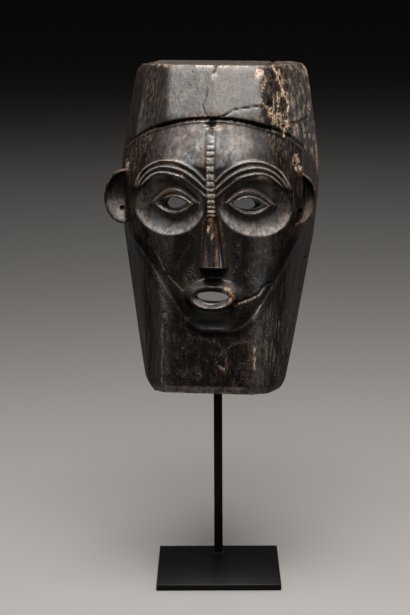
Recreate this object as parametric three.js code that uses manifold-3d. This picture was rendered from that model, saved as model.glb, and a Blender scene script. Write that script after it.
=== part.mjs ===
// A carved wooden face mask from the Ngbaka people, held upright on a black steel stand.
// Millimetres, +Z up. The origin is the centre of the base plate's underside.
// The mask is drawn in its own frame: x to the viewer's right, y from front to back and z up the
// mask, with z = 0 at its lower edge and y = 0 on the flat below the chin. It leans back in place.
import * as THREE from "three";
import { ConvexHull } from "three/addons/math/ConvexHull.js";
import { mergeVertices } from "three/addons/utils/BufferGeometryUtils.js";
import Module from "manifold-3d";

const wasm = await Module();
wasm.setup();

// Stand
const PLATE = { side: 120, thick: 6, bevel: 0.8 };
const BAR = { side: 8.4, x: 0, y: 38, bevel: 0.5 };
const CRADLE = { radius: 3, half: 56, pinRadius: 2.1, pinLength: 9 };
const TOUCH = 0.3; // room left where two pieces meet

// Where the mask's own frame stands, and how it is turned, in degrees
const POSE = { x: -9.6, y: -43.6, z: 190.2, yaw: -5, lean: -10, roll: 0.6 };

// The block that the mask is cut from
const HEIGHT = 312; // at the front; the top rises towards the back
const TOP_RISE = 15;
const GIRTH = 150; // half of the way round a section, the scale of the coordinate a
const FACET_AT = 46; // a at the arris of the front facet
const CORNER_AT = 96; // a at the corner between cheek and side wall
const WALL = 13;
// Knots of [height, size]: the front facet's depth at its centre and at its arris, half widths and depths
const FRONT = [[0, 3.5], [6, 0], [60, 0], [120, 0], [200, -10], [262, -13.5], [306, 0], [312, 2.5]];
const ARRIS_X = [[0, 42], [6, 44], [60, 45], [150, 52], [215, 52], [262, 46], [312, 44.5]];
const ARRIS_Y = [[0, 3.5], [6, 0], [60, 0], [120, 0], [150, -3], [215, -7], [262, -9], [306, 4], [312, 6]];
const CORNER_X = [[0, 56], [7, 61], [40, 63.5], [127, 74], [165, 82], [215, 83], [262, 75], [312, 68]];
const CORNER_Y = [[0, 38], [127, 36], [165, 20], [215, 18], [262, 20], [312, 24]];
const RIM_X = [[0, 58], [4, 65], [12, 69.5], [45, 75.5], [158, 94.2], [205, 98.6], [228, 97.6], [268, 91],
  [305, 84.5], [312, 80]];
const RIM_Y = [[0, 76], [312, 81]];
const CRISP = 3; // how softly the block's corners turn, below the face and on the crown
const SOFT = 16; // and beside the face

// The face: its midline wanders a little, as the carver left it
const MIDLINE = [[60, 2.1], [92, 2.4], [120, 3.4], [170, 0.4], [200, -0.9], [235, -1.2]];
const FACE_DEPTH = [[55, -5], [75, -4], [110, -3.5], [150, -5], [175, -9], [200, -15], [226, -18.5], [262, -11]];
const FACE_ROUND = [[60, 18], [113, 24], [140, 20], [175, 12], [225, 14], [262, 15]];
const FACE_SCALE = 60;
const FACE_POWER = 2.2;
const JAW = { z: 60, rise: 8.5, at: 31, power: 2.6, half: 84, edge: 2.2, edgeIn: 3, edgeWidth: 2.8 };
const ARCH = { half: 97, z: 210, rise: 52, groove: 1.8, grooveWidth: 1.5, lip: 1, lipIn: 2.6, lipWidth: 1.2 };
const FACE_FADE = [84, 92]; // x over which the face gives way to the side walls

// Features of the face
const SOCKET = { x: 41, z: 180, half: 35.5, up: 27, down: 30, depth: 13 };
const EYE = { x: 36.2, z: 180, half: 22, tall: 12.4, bulge: 7.5, lid: 1.4 };
const SLIT = { left: -39.8, right: 34.6, z: 181.4, half: 15.5, tall: 5.6, backHalf: 10, raised: 4 };
const BROW_UPPER = [[4.8, 201], [14.5, 210.5], [28, 218], [41, 220.7], [53, 219.2], [65, 212.5], [71.5, 203.5],
  [76, 193.5]];
const BROW_LOWER = [[4.8, 186.5], [14.3, 195], [26.5, 203.7], [43, 209], [55.6, 207.6], [66.5, 198.7], [73.5, 189]];
const BROW = { ridges: 3, tall: 1.7, width: 1.5 };
const NOSE = { top: 178, base: 119.5, topDepth: -11, tipDepth: -30.5, topHalf: 3.6, tipHalf: 9.2, flare: 2.6,
  underside: 2 };
const MOUTH = { z: 91.5, half: 20, tall: 10.4, out: 9, mound: 3, hollow: 5, slitHalf: 16, slitTall: 4.3, slitZ: 92.8,
  raised: 7 };
const CHIN = { z: 71, depth: 2.5 };
const SCARS = { half: 3.8, tall: 2, low: 168, high: 246,
  rungs: [236, 230, 224, 216, 208.5, 201, 195, 190, 184, 179, 175, 170.5] };
const EAR = { x: 82.5, drift: -3.5, z: 187.5, out: 20, in: 5, tall: 26.5, pit: 2.4, pitX: 86, pitZ: 177 };
// The bowl of an ear: [share of its outline, depth], from deep in the head round the rim to its middle
const EAR_BOWL = [[0, 50], [0.4, 46], [0.78, 32], [0.97, 19], [1, 15], [0.96, 13.6], [0.89, 14.6], [0.82, 19],
  [0.55, 24], [0, 26]];
const LACING = { radius: 2.4, inset: 7.3, heights: [34, 66, 100, 133] };

const clamp = (t) => Math.min(1, Math.max(0, t));
const mix = (a, b, k) => a + (b - a) * k;
const ease = (a, b, t) => {
  const k = clamp((t - a) / (b - a));
  return k * k * (3 - 2 * k);
};
const bell = (t) => Math.exp(-t * t);
const ramp = (t, r) => (t <= -r ? 0 : t >= r ? t : (t + r) ** 2 / (4 * r));

// Straight runs through the knots [t, value], level past both ends, each bend eased over r either side
function through(knots, t, r = 6) {
  let value = knots[0][1];
  let slope = 0;
  knots.forEach(([at, level], i) => {
    const next = knots[i + 1];
    const onward = next ? (next[1] - level) / (next[0] - at) : 0;
    const inner = i > 0 && next;
    const reach = inner ? Math.min(r, (next[0] - at) / 2, (at - knots[i - 1][0]) / 2) : 1e-6;
    value += (onward - slope) * ramp(t - at, reach);
    slope = onward;
  });
  return value;
}

const midline = (z) => through(MIDLINE, z, 12);

// A point of the plain block: a runs round the section from rim to rim, z up the mask
function blockPoint(a, z) {
  const r = mix(mix(CRISP, SOFT, ease(90, 150, z)), CRISP, ease(232, 262, z));
  const bend = [[-GIRTH, -through(RIM_X, z)], [-CORNER_AT, -through(CORNER_X, z)], [-FACET_AT, -through(ARRIS_X, z)],
    [FACET_AT, through(ARRIS_X, z)], [CORNER_AT, through(CORNER_X, z)], [GIRTH, through(RIM_X, z)]];
  const front = through(FRONT, z);
  const back = [[0, front], [FACET_AT, through(ARRIS_Y, z)], [CORNER_AT, through(CORNER_Y, z)],
    [GIRTH, through(RIM_Y, z)]];
  return { x: through(bend, a, r), y: through(back, Math.abs(a), r) };
}

// How far (x, z) lies inside the outline of the face: the jaw below, the groove of the crown above
function jawGap(x, z) {
  const u = Math.abs(x - midline(z)) / JAW.at;
  const edge = JAW.z + JAW.rise * u ** JAW.power;
  const slope = (JAW.rise * JAW.power * u ** (JAW.power - 1)) / JAW.at;
  return (z - edge) / Math.hypot(1, slope);
}
function archGap(x, z) {
  const u = x / ARCH.half;
  const v = Math.max(0, z - ARCH.z) / ARCH.rise;
  const size = Math.hypot(u, v) || 1e-9;
  return (1 - size) / Math.hypot(u / size / ARCH.half, v / size / ARCH.rise);
}

// The a of a place given by its x, by halving
function roundAt(x, z) {
  let [low, high] = [-GIRTH, GIRTH];
  for (let i = 0; i < 26; i++) {
    const middle = (low + high) / 2;
    if (blockPoint(middle, z).x < x) low = middle;
    else high = middle;
  }
  return (low + high) / 2;
}

// The two outlines as lines, left to right, and a row of places a gap inside such a line. The places
// are spread evenly round the block, so that a row stays whole where the block turns away.
const LINE_STEPS = 60;
const shares = Array.from({ length: LINE_STEPS + 1 }, (_, i) => (2 * i) / LINE_STEPS - 1);
const jawLine = shares.map((share) => {
  const u = share * JAW.half;
  const z = JAW.z + JAW.rise * (Math.abs(u) / JAW.at) ** JAW.power;
  return new THREE.Vector2(u + midline(z), z);
});
const archLine = shares.map((share) => {
  const angle = (share * Math.PI) / 2.1;
  return new THREE.Vector2(ARCH.half * Math.sin(angle), ARCH.z + ARCH.rise * Math.cos(angle));
});
function rowAlong(line, gapOf, gap, spacing) {
  const curve = new THREE.SplineCurve(line.map((p) => new THREE.Vector2(roundAt(p.x, p.y), p.y)));
  const count = Math.round(curve.getLength() / spacing);
  const inward = line[line.length >> 1].y < line[0].y ? 1 : -1;
  const flat = (share) => {
    const p = curve.getPointAt(clamp(share));
    return new THREE.Vector2(blockPoint(p.x, p.y).x, p.y);
  };
  return Array.from({ length: count + 1 }, (_, i) => {
    const share = i / count;
    const run = flat(share + 0.002).sub(flat(share - 0.002)).normalize();
    const inwards = new THREE.Vector2(-run.y, run.x).multiplyScalar(inward);
    const place = flat(share).addScaledVector(inwards, gap);
    for (let n = 0; n < 3; n++) place.addScaledVector(inwards, gap - gapOf(place.x, place.y));
    return place;
  });
}

// The three ridges of a brow, as points for x > 0
const browUpper = new THREE.SplineCurve(BROW_UPPER.map((p) => new THREE.Vector2(...p)));
const browLower = new THREE.SplineCurve(BROW_LOWER.map((p) => new THREE.Vector2(...p)));
const BROW_STEPS = 24;
function browLine(share, steps = BROW_STEPS) {
  const upper = browUpper.getSpacedPoints(steps);
  const lower = browLower.getSpacedPoints(steps);
  return upper.map((p, i) => p.clone().lerp(lower[i], share));
}
const browLines = Array.from({ length: BROW.ridges }, (_, i) => browLine(i / (BROW.ridges - 1)));
function lineDistance(line, u, z) {
  let best = Infinity;
  for (let i = 1; i < line.length; i++) {
    const [p, q] = [line[i - 1], line[i]];
    const [dx, dz] = [q.x - p.x, q.y - p.y];
    const k = clamp(((u - p.x) * dx + (z - p.y) * dz) / (dx * dx + dz * dz));
    best = Math.min(best, Math.hypot(u - p.x - k * dx, z - p.y - k * dz));
  }
  return best;
}

// Depth of the face at (x, z): its rounded mass with every feature cut in or left standing
function faceDepth(x, z) {
  const u = x - midline(z);
  const side = Math.abs(u);
  let y = through(FACE_DEPTH, z, 12) + through(FACE_ROUND, z, 15) * (side / FACE_SCALE) ** FACE_POWER;
  y += CHIN.depth * bell((z - CHIN.z) / 8) * bell(u / 26);
  y -= JAW.edge * bell((jawGap(x, z) - JAW.edgeIn) / JAW.edgeWidth);
  y -= ARCH.lip * bell((archGap(x, z) - ARCH.lipIn) / ARCH.lipWidth);
  y += socketDepth(side, z) - eyeHeight(side, z);
  if (side > 2 && side < 84 && z > 178 && z < 230) {
    browLines.forEach((line) => (y -= BROW.tall * bell(lineDistance(line, side, z) / BROW.width)));
  }
  y -= mouthHeight(u, z);
  y = Math.min(y, noseDepth(side, z));
  return y - scarHeight(side, z);
}

function socketDepth(side, z) {
  const dz = (z - SOCKET.z) / (z > SOCKET.z ? SOCKET.up : SOCKET.down);
  const away = ((side - SOCKET.x) / SOCKET.half) ** 2 + dz * dz;
  return SOCKET.depth * Math.max(0, 1 - away);
}

// Share of the eye's almond outline: 1 in its middle, 0 on the outline
const almond = (side, z) => 1 - ((side - EYE.x) / EYE.half) ** 2 - Math.abs(z - EYE.z) / EYE.tall;
function eyeHeight(side, z) {
  const q = almond(side, z);
  return EYE.bulge * ease(-0.15, 0.4, q) + EYE.lid * (bell((q - 0.08) / 0.1) - 0.5 * bell((q - 0.32) / 0.1));
}

function mouthHeight(u, z) {
  const ring = Math.hypot(u / MOUTH.half, (z - MOUTH.z) / MOUTH.tall);
  const lip = ring > 1 ? 1 - ease(1, 1.3, ring) : 1 - (MOUTH.hollow / MOUTH.out) * (1 - ease(0.5, 1, ring));
  return MOUTH.out * lip + MOUTH.mound * bell(ring / 2);
}

function noseDepth(side, z) {
  const t = clamp((NOSE.top - z) / (NOSE.top - NOSE.base));
  const half = mix(NOSE.topHalf, NOSE.tipHalf, t);
  const foot = half + NOSE.flare * (1 + t);
  const ridge = mix(NOSE.topDepth, NOSE.tipDepth, t);
  const fall = mix(4, 26, t) / (foot - half);
  const under = (Math.max(0, NOSE.base - z) / NOSE.underside) * 26;
  const above = Math.max(0, z - NOSE.top) * 2;
  return ridge + Math.max(0, side - half) * fall + under + above;
}

function scarHeight(side, z) {
  const across = 1 - ease(SCARS.half - 0.8, SCARS.half + 0.6, side);
  const along = ease(SCARS.low - 1, SCARS.low + 1, z) * (1 - ease(226, SCARS.high, z));
  const cut = SCARS.rungs.reduce((sum, rung) => sum + bell((z - rung) / 1), 0);
  return SCARS.tall * across * along * (1 - 0.75 * Math.min(1, cut));
}

// A point of the carved outer surface, in the mask's frame
function surfacePoint(a, z) {
  const block = blockPoint(a, z);
  const arch = archGap(block.x, z);
  const inside = ease(-1.2, 1.2, jawGap(block.x, z)) * ease(-0.6, 0.6, arch);
  const groove = ARCH.groove * bell(arch / ARCH.grooveWidth) * ease(190, 215, z);
  const carved = mix(block.y, faceDepth(block.x, z), inside * (1 - ease(...FACE_FADE, Math.abs(block.x))));
  const rise = TOP_RISE * (block.y / through(RIM_Y, z)) * ease(190, HEIGHT, z);
  return new THREE.Vector3(block.x, carved + groove, z + rise);
}

// Places for the surface's vertices: rows along each feature, then an even spread between them
function surfacePlaces() {
  const places = [];
  const add = (a, z, gap) => {
    if (Math.abs(a) > GIRTH - gap * 0.6 || z < gap * 0.6 || z > HEIGHT - gap * 0.6) return;
    if (places.every((p) => Math.hypot(p.a - a, p.z - z) > gap)) places.push({ a, z });
  };
  const addAt = (x, z, gap) => add(roundAt(x, z), z, gap);
  const both = (side, z, gap) => [-1, 1].forEach((s) => addAt(s * side + midline(z), z, gap));
  const ringOf = (count, place) => {
    for (let i = 0; i < count; i++) place((2 * Math.PI * i) / count);
  };

  const EDGE_STEPS = 34;
  for (let i = 0; i <= EDGE_STEPS; i++) {
    [-GIRTH, GIRTH].forEach((a) => places.push({ a, z: (HEIGHT * i) / EDGE_STEPS }));
  }
  const ROUND_STEPS = 30;
  for (let i = 1; i < ROUND_STEPS; i++) {
    [0, HEIGHT].forEach((z) => places.push({ a: mix(-GIRTH, GIRTH, i / ROUND_STEPS), z }));
  }

  for (const z of SCARS.rungs) {
    for (const dz of [-1.5, 0, 1.5]) for (const x of [3, 4.5]) both(x, z + dz, 0.9);
  }
  for (let i = 0; i <= 13; i++) {
    const z = mix(NOSE.base, NOSE.top, i / 13);
    const t = 1 - i / 13;
    const half = mix(NOSE.topHalf, NOSE.tipHalf, t);
    both(half, z, 1.2);
    both(half + NOSE.flare * (1 + t), z, 1.2);
  }
  for (const z of [NOSE.base, NOSE.base - NOSE.underside]) {
    for (const x of [0, 4.5, 9.2, 11.8, 14.4]) both(x, z, 1);
  }
  for (const share of [-0.25, 0, 0.25, 0.5, 0.75, 1, 1.25]) {
    browLine(share, 22).forEach((p) => both(p.x, p.y, 1.5));
  }
  for (const q of [0.08, 0.32, -0.2]) {
    ringOf(24, (angle) => {
      const x = EYE.x + EYE.half * Math.sqrt(1 - q) * Math.cos(angle);
      const z = EYE.z + EYE.tall * (1 - q) * Math.sign(Math.sin(angle)) * Math.sin(angle) ** 2;
      both(x, z, 1.4);
    });
  }
  for (const size of [1, 1.35, 0.75, 1.15]) {
    ringOf(26, (angle) => {
      const z = MOUTH.z + MOUTH.tall * size * Math.sin(angle);
      addAt(midline(z) + MOUTH.half * size * Math.cos(angle), z, 1.6);
    });
  }
  for (const size of [1, 0.86, 1.1]) {
    ringOf(36, (angle) => {
      const tall = Math.sin(angle) > 0 ? SOCKET.up : SOCKET.down;
      both(SOCKET.x + SOCKET.half * size * Math.cos(angle), SOCKET.z + tall * size * Math.sin(angle), 1);
    });
  }
  for (const gap of [0, 1.3, -1.3, 2.8, 5, -4]) {
    rowAlong(archLine, archGap, gap, 5).forEach((p) => addAt(p.x, p.y, 0.8));
  }
  for (const gap of [-1.2, 1.2, 3.2, 6.5]) {
    rowAlong(jawLine, jawGap, gap, 4.5).forEach((p) => addAt(p.x, p.y, 0.9));
  }
  for (let z = 6; z < HEIGHT; z += 9) {
    if (z < 66 || z > 250) [-FACET_AT, FACET_AT].forEach((a) => add(a, z, 3));
  }
  for (const z of [6, 306]) for (let a = -132; a <= 132; a += 11) add(a, z, 3);

  spread(add, 5.2, (a, z) => Math.abs(a) < 84 && z > 62 && z < 252);
  spread(add, 10.5, () => true);
  return places;
}

// An even triangular lattice of places over the part of the surface that wanted() picks
function spread(add, step, wanted) {
  for (let row = 1, z = step / 2; z < HEIGHT; z += step * 0.87, row++) {
    for (let a = -GIRTH + (row % 2 ? step / 2 : step); a < GIRTH; a += step) {
      if (wanted(a, z)) add(a, z, step * 0.72);
    }
  }
}

// Triangles between places on a plane, none with another place inside its circle: the lower side of
// the hull of the places lifted onto a bowl
function triangulate(places) {
  const scale = 1 / HEIGHT;
  const lifted = places.map((p, i) => {
    const [u, v] = [p.a * scale, p.z * scale - 0.5];
    return Object.assign(new THREE.Vector3(u, v, u * u + v * v), { index: i });
  });
  const triangles = [];
  for (const face of new ConvexHull().setFromPoints(lifted).faces) {
    if (face.normal.z > -0.05) continue;
    const corners = [];
    let edge = face.edge;
    do {
      corners.push(edge.head().point.index);
      edge = edge.next;
    } while (edge !== face.edge);
    triangles.push(corners.reverse());
  }
  return triangles;
}

// A closed solid from corners and triangles, moved by its matrix
function solid(corners, triangles) {
  const geometry = new THREE.BufferGeometry();
  geometry.setAttribute("position", new THREE.Float32BufferAttribute(corners.flatMap((p) => [p.x, p.y, p.z]), 3));
  geometry.setIndex(triangles.flat());
  return solidOf(geometry);
}
function solidOf(geometry) {
  const bare = geometry.clone();
  bare.deleteAttribute("normal");
  bare.deleteAttribute("uv");
  const merged = mergeVertices(bare, 1e-4);
  const build = (triVerts) => new wasm.Manifold(new wasm.Mesh({
    numProp: 3,
    vertProperties: new Float32Array(merged.attributes.position.array),
    triVerts,
  }));
  const made = build(new Uint32Array(merged.index.array));
  return made.volume() > 0 ? made : build(new Uint32Array(merged.index.array).reverse());
}
function geometryOf(manifold) {
  const mesh = manifold.getMesh();
  const geometry = new THREE.BufferGeometry();
  geometry.setAttribute("position", new THREE.BufferAttribute(mesh.vertProperties, 3));
  geometry.setIndex(new THREE.BufferAttribute(mesh.triVerts, 1));
  return geometry;
}

// The block with its carving, closed behind and at both ends
function carvedBlock() {
  const places = surfacePlaces();
  const corners = places.map((p) => surfacePoint(p.a, p.z));
  const triangles = triangulate(places);
  const index = (test, key) => places.map((p, i) => i).filter((i) => test(places[i])).sort(
    (i, j) => places[i][key] - places[j][key]);
  const left = index((p) => p.a === -GIRTH, "z");
  const right = index((p) => p.a === GIRTH, "z");
  for (let i = 1; i < left.length; i++) {
    triangles.push([right[i - 1], left[i - 1], left[i]], [right[i - 1], left[i], right[i]]);
  }
  for (const [z, turned] of [[0, false], [HEIGHT, true]]) {
    const row = index((p) => p.z === z, "a");
    const middle = corners.length;
    const [first, last] = [corners[row[0]], corners[row[row.length - 1]]];
    corners.push(first.clone().add(last).multiplyScalar(0.5).lerp(corners[row[row.length >> 1]], 0.4));
    row.forEach((corner, i) => {
      const next = row[(i + 1) % row.length];
      triangles.push(turned ? [middle, corner, next] : [middle, next, corner]);
    });
  }
  return solid(corners, triangles);
}

// Rings of equal length joined in order into a closed skin, with a fan over each end
function skin(rings) {
  const count = rings[0].length;
  const corners = rings.flat();
  const triangles = [];
  for (let r = 1; r < rings.length; r++) {
    for (let i = 0; i < count; i++) {
      const next = (i + 1) % count;
      const [p, q] = [(r - 1) * count, r * count];
      triangles.push([p + i, p + next, q + next], [p + i, q + next, q + i]);
    }
  }
  for (const [ring, turned] of [[0, true], [rings.length - 1, false]]) {
    const middle = corners.length;
    corners.push(rings[ring].reduce((sum, p) => sum.add(p), new THREE.Vector3()).divideScalar(count));
    for (let i = 0; i < count; i++) {
      const [p, q] = [ring * count + i, ring * count + ((i + 1) % count)];
      triangles.push(turned ? [middle, q, p] : [middle, p, q]);
    }
  }
  return solid(corners, triangles);
}

// The hollow behind the face, open at the back
function hollow() {
  const [low, high, round] = [WALL, HEIGHT - WALL, 13];
  const levels = [0, 2, 6, round, 40, 75, 110, 145, 180, 215, 250];
  const span = high - low;
  const heights = [...levels, span - round, span - 6, span - 2, span].map((t) => low + t);
  const rings = heights.map((z) => {
    const end = Math.min(z - low, high - z, round);
    const inset = round - Math.sqrt(round * round - (round - end) ** 2);
    const half = through(RIM_X, z) - WALL - inset;
    const open = through(RIM_Y, z) + 4;
    const front = through(FRONT, z, 20) + 16 + 6 * bell((z - 180) / 30) + inset;
    const ring = [];
    const STEPS = 16;
    for (let i = 0; i <= STEPS; i++) {
      const angle = mix(-Math.PI / 2, Math.PI / 2, i / STEPS);
      const [s, c] = [Math.sin(angle), Math.cos(angle)];
      const x = half * Math.sign(s) * Math.abs(s) ** 0.72;
      const y = open - (open - front) * Math.abs(c) ** 0.72;
      const rise = TOP_RISE * (y / open) * ease(190, HEIGHT, z);
      ring.push(new THREE.Vector3(x, y, z + rise));
    }
    return ring;
  });
  return skin(rings);
}

// A cutter of one outline down to yStart, opening from there to another at yBack
function throughCut(count, front, back, yFront, yStart, yBack) {
  const ring = (place, y) => Array.from({ length: count }, (_, i) => {
    const p = place((2 * Math.PI * i) / count);
    return new THREE.Vector3(p[0], y, p[1]);
  });
  return skin([ring(front, yFront), ring(front, yStart), ring(back, yBack)]);
}
function eyeSlit(side) {
  const middle = side < 0 ? SLIT.left : SLIT.right;
  const outline = (half, shift, raised) => (angle) => {
    const up = Math.sign(Math.sin(angle)) * Math.abs(Math.sin(angle)) ** 1.5;
    const tall = up > 0 ? SLIT.tall + raised : SLIT.tall;
    return [middle + side * shift + half * Math.cos(angle), SLIT.z + tall * up];
  };
  const shift = SLIT.backHalf - SLIT.half;
  return throughCut(20, outline(SLIT.half, 0, 0), outline(SLIT.backHalf, shift, SLIT.raised), -20, -4, 24);
}
function mouthSlit() {
  const middle = midline(MOUTH.z);
  const outline = (raised) => (angle) => {
    const up = Math.sin(angle);
    const tall = up > 0 ? MOUTH.slitTall + raised : MOUTH.slitTall;
    return [middle + MOUTH.slitHalf * Math.cos(angle), MOUTH.slitZ + tall * up];
  };
  return throughCut(22, outline(0), outline(MOUTH.raised), -40, -12, 24);
}

function ear(side) {
  const COUNT = 22;
  const rings = EAR_BOWL.map(([share, depth], i) => {
    const size = Math.max(share, 0.02);
    return Array.from({ length: COUNT }, (_, n) => {
      const angle = (side * 2 * Math.PI * n) / COUNT;
      const reach = Math.cos(angle) > 0 ? EAR.out : EAR.in;
      const x = EAR.drift + side * (EAR.x + reach * size * Math.cos(angle));
      const buried = i > 2 ? (1 - ease(-1, 0.2, Math.cos(angle))) * 14 : 0;
      return new THREE.Vector3(x, depth + buried, EAR.z + EAR.tall * size * Math.sin(angle));
    });
  });
  return skin(rings);
}

// A short round bar along x or y, to drill with
function drill(radius, length, along, x, y, z) {
  const geometry = new THREE.CylinderGeometry(radius, radius, length, 10);
  if (along === "x") geometry.rotateZ(Math.PI / 2);
  geometry.translate(x, y, z);
  return solidOf(geometry);
}

function maskSolid() {
  let body = carvedBlock().add(ear(-1)).add(ear(1)).subtract(hollow());
  for (const side of [-1, 1]) {
    body = body.subtract(eyeSlit(side));
    body = body.subtract(drill(EAR.pit, 12, "y", EAR.drift + side * EAR.pitX, 22, EAR.pitZ));
    for (const z of LACING.heights) {
      const [x, y] = [through(RIM_X, z) - WALL / 2, through(RIM_Y, z) - LACING.inset];
      body = body.subtract(drill(LACING.radius, 3 * WALL, "x", side * x, y, z));
    }
  }
  return body.subtract(mouthSlit());
}

// A square bar or plate with its long edges eased
function bevelledBlock(width, depth, height, bevel) {
  const [w, d] = [width / 2, depth / 2];
  const outline = new THREE.Shape([[-w + bevel, -d], [w - bevel, -d], [w, -d + bevel], [w, d - bevel],
    [w - bevel, d], [-w + bevel, d], [-w, d - bevel], [-w, -d + bevel]].map((p) => new THREE.Vector2(...p)));
  return new THREE.ExtrudeGeometry(outline, { depth: height, bevelEnabled: false, steps: 1 });
}

function cradleGeometry() {
  const { radius, half, pinRadius, pinLength } = CRADLE;
  const tip = half + pinLength;
  const profile = [[0, -tip], [pinRadius, -tip], [pinRadius, -half], [radius, -half], [radius, half],
    [pinRadius, half], [pinRadius, tip], [0, tip]].map((p) => new THREE.Vector2(...p));
  return new THREE.LatheGeometry(profile, 14).rotateZ(-Math.PI / 2);
}

const wood = new THREE.MeshStandardMaterial({ color: 0x3a2c22, roughness: 0.45, metalness: 0 });
const paintedSteel = new THREE.MeshStandardMaterial({ color: 0x161616, roughness: 0.5, metalness: 0.2 });

function mesh(name, geometry, material) {
  const made = new THREE.Mesh(geometry, material);
  made.name = name;
  return made;
}

const radians = THREE.MathUtils.degToRad;
const stood = new THREE.Group();
stood.position.set(POSE.x, POSE.y, POSE.z);
stood.rotation.z = radians(POSE.yaw);
const leaning = new THREE.Group();
leaning.rotation.x = radians(POSE.lean);
const rolled = new THREE.Group();
rolled.rotation.y = radians(POSE.roll);
stood.add(leaning);
leaning.add(rolled);

const mask = mesh("mask", geometryOf(maskSolid()), wood);
const cradle = mesh("cradle", cradleGeometry(), paintedSteel);
const cradleHeight = LACING.heights[0];
cradle.position.set(0, through(RIM_Y, cradleHeight) - LACING.inset, cradleHeight);
rolled.add(mask, cradle);

const part = new THREE.Group();
const plate = mesh("base_plate", bevelledBlock(PLATE.side, PLATE.side, PLATE.thick, PLATE.bevel), paintedSteel);
part.add(stood, plate);
part.updateMatrixWorld(true);

// The upright ends just above the cradle, which is welded to its front
const cradlePlace = cradle.getWorldPosition(new THREE.Vector3());
const foot = PLATE.thick + TOUCH;
const uprightHeight = cradlePlace.z + CRADLE.radius + 3 - foot;
const upright = mesh("upright", bevelledBlock(BAR.side, BAR.side, uprightHeight, BAR.bevel), paintedSteel);
upright.position.set(BAR.x, BAR.y, foot);
part.add(upright);

export default part;
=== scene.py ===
"""A carved wooden face mask of the Ngbaka people, held upright on its black steel stand.

The mask's sizes are millimetres in its own frame: x to the viewer's right, y from front to back and z up
the mask, with z = 0 at its lower edge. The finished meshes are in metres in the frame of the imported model.
"""

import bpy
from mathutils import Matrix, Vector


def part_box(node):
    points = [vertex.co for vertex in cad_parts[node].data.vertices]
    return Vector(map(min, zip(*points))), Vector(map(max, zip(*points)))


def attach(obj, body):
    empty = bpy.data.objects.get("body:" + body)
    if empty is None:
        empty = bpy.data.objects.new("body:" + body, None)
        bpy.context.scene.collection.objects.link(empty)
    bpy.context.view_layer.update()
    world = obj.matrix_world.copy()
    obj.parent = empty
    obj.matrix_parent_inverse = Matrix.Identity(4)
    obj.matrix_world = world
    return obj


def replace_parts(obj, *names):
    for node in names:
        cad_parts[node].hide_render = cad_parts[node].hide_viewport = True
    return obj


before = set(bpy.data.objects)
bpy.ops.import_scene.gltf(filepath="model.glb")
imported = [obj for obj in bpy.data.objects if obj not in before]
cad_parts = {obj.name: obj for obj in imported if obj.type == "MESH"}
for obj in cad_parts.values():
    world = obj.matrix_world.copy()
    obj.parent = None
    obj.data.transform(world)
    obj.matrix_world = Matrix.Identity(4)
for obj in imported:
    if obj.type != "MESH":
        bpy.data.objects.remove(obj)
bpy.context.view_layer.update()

import logging
import math
from dataclasses import dataclass
from enum import Enum

import bmesh
import bpy
import numpy as np
from mathutils import Matrix, Vector

log = logging.getLogger("mask")
Array = np.ndarray
Point = tuple[float, float]
Place = tuple[float, float, float]
Colour = tuple[float, float, float, float]
Knots = tuple[Point, ...]
Piece = bpy.types.Object
Socket = bpy.types.NodeSocket
Given = Socket | float | Place | Colour

MM = 0.001
SHARP = 1e-6  # the reach of a bend that isn't eased
TINY = 1e-9  # keeps a division away from 0
CURVE_PARTS = 12  # straight pieces between two points of a smooth curve
SLIT_STEPS = 64  # points round a slit
BORE_STEPS = 24  # flat sides of a drilled hole
WELD_GRID = 1e4  # steps to the millimetre at which two corners count as one
NOISE_VALUES = 4096  # a power of two
NOISE_PRIMES = (73856093, 19349663, 83492791)
SHORTEST_EDGE = 0.3  # the length that a bend over a shorter edge is measured by
BEND_PASSES = 3  # times that the bends are evened out between neighbours
GRAIN_TILT = (math.radians(10), 0, 0)  # the grain leans back with the mask


# Numbers


def mix(low: Array, high: Array, share: Array) -> Array:
    """Return the value a share of the way from low to high."""
    return low + (high - low) * share


def ease(start: float, end: float, at: Array) -> Array:
    """Return 0 before start, 1 after end and a smooth rise between them."""
    share = np.clip((at - start) / (end - start), 0.0, 1.0)
    return share * share * (3 - 2 * share)


def bell(at: Array) -> Array:
    """Return a smooth hump, 1 high at 0 and gone past 2."""
    return np.exp(-at * at)


def ramp(at: Array, reach: Array) -> Array:
    """Return 0 before 0 and at after it, with the bend eased over reach either side."""
    eased = (at + reach) ** 2 / (4 * reach)
    return np.where(at <= -reach, 0.0, np.where(at >= reach, at, eased))


def through(knots: Knots, at: Array, reach: Array = 6.0) -> Array:
    """Follow straight runs through knots, level past both ends.

    Args:
        knots: Places and their levels. A level may be an array.
        at: Where to read.
        reach: How far either side each bend is eased.

    Returns:
        The level at each place.
    """
    value, slope = knots[0][1] + 0.0 * at, 0.0
    for i, (place, level) in enumerate(knots):
        last = i == len(knots) - 1
        onward = 0.0 if last else (knots[i + 1][1] - level) / (knots[i + 1][0] - place)
        if i == 0 or last:
            room = SHARP
        else:
            room = np.minimum(reach, min(knots[i + 1][0] - place, place - knots[i - 1][0]) / 2)
        value = value + (onward - slope) * ramp(at - place, room)
        slope = onward
    return value


def most(*values: Array) -> Array:
    """Return the largest of several values at each place."""
    return np.maximum.reduce(np.broadcast_arrays(*values))


def powered(value: Array, power: float) -> Array:
    """Return values raised to a power, each with its sign kept."""
    return np.sign(value) * np.abs(value) ** power


def line_distance(line: Array, x: Array, z: Array) -> Array:
    """Measure how far places lie from an open line.

    Args:
        line: The line's points, one a row.
        x: Places across.
        z: Places up.

    Returns:
        The distance of each (x, z) from the nearest point of the line.
    """
    best = np.full(np.shape(x), np.inf)
    for (px, pz), (qx, qz) in zip(line[:-1], line[1:]):
        dx, dz = qx - px, qz - pz
        share = np.clip(((x - px) * dx + (z - pz) * dz) / (dx * dx + dz * dz), 0, 1)
        best = np.minimum(best, np.hypot(x - px - share * dx, z - pz - share * dz))
    return best


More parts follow.
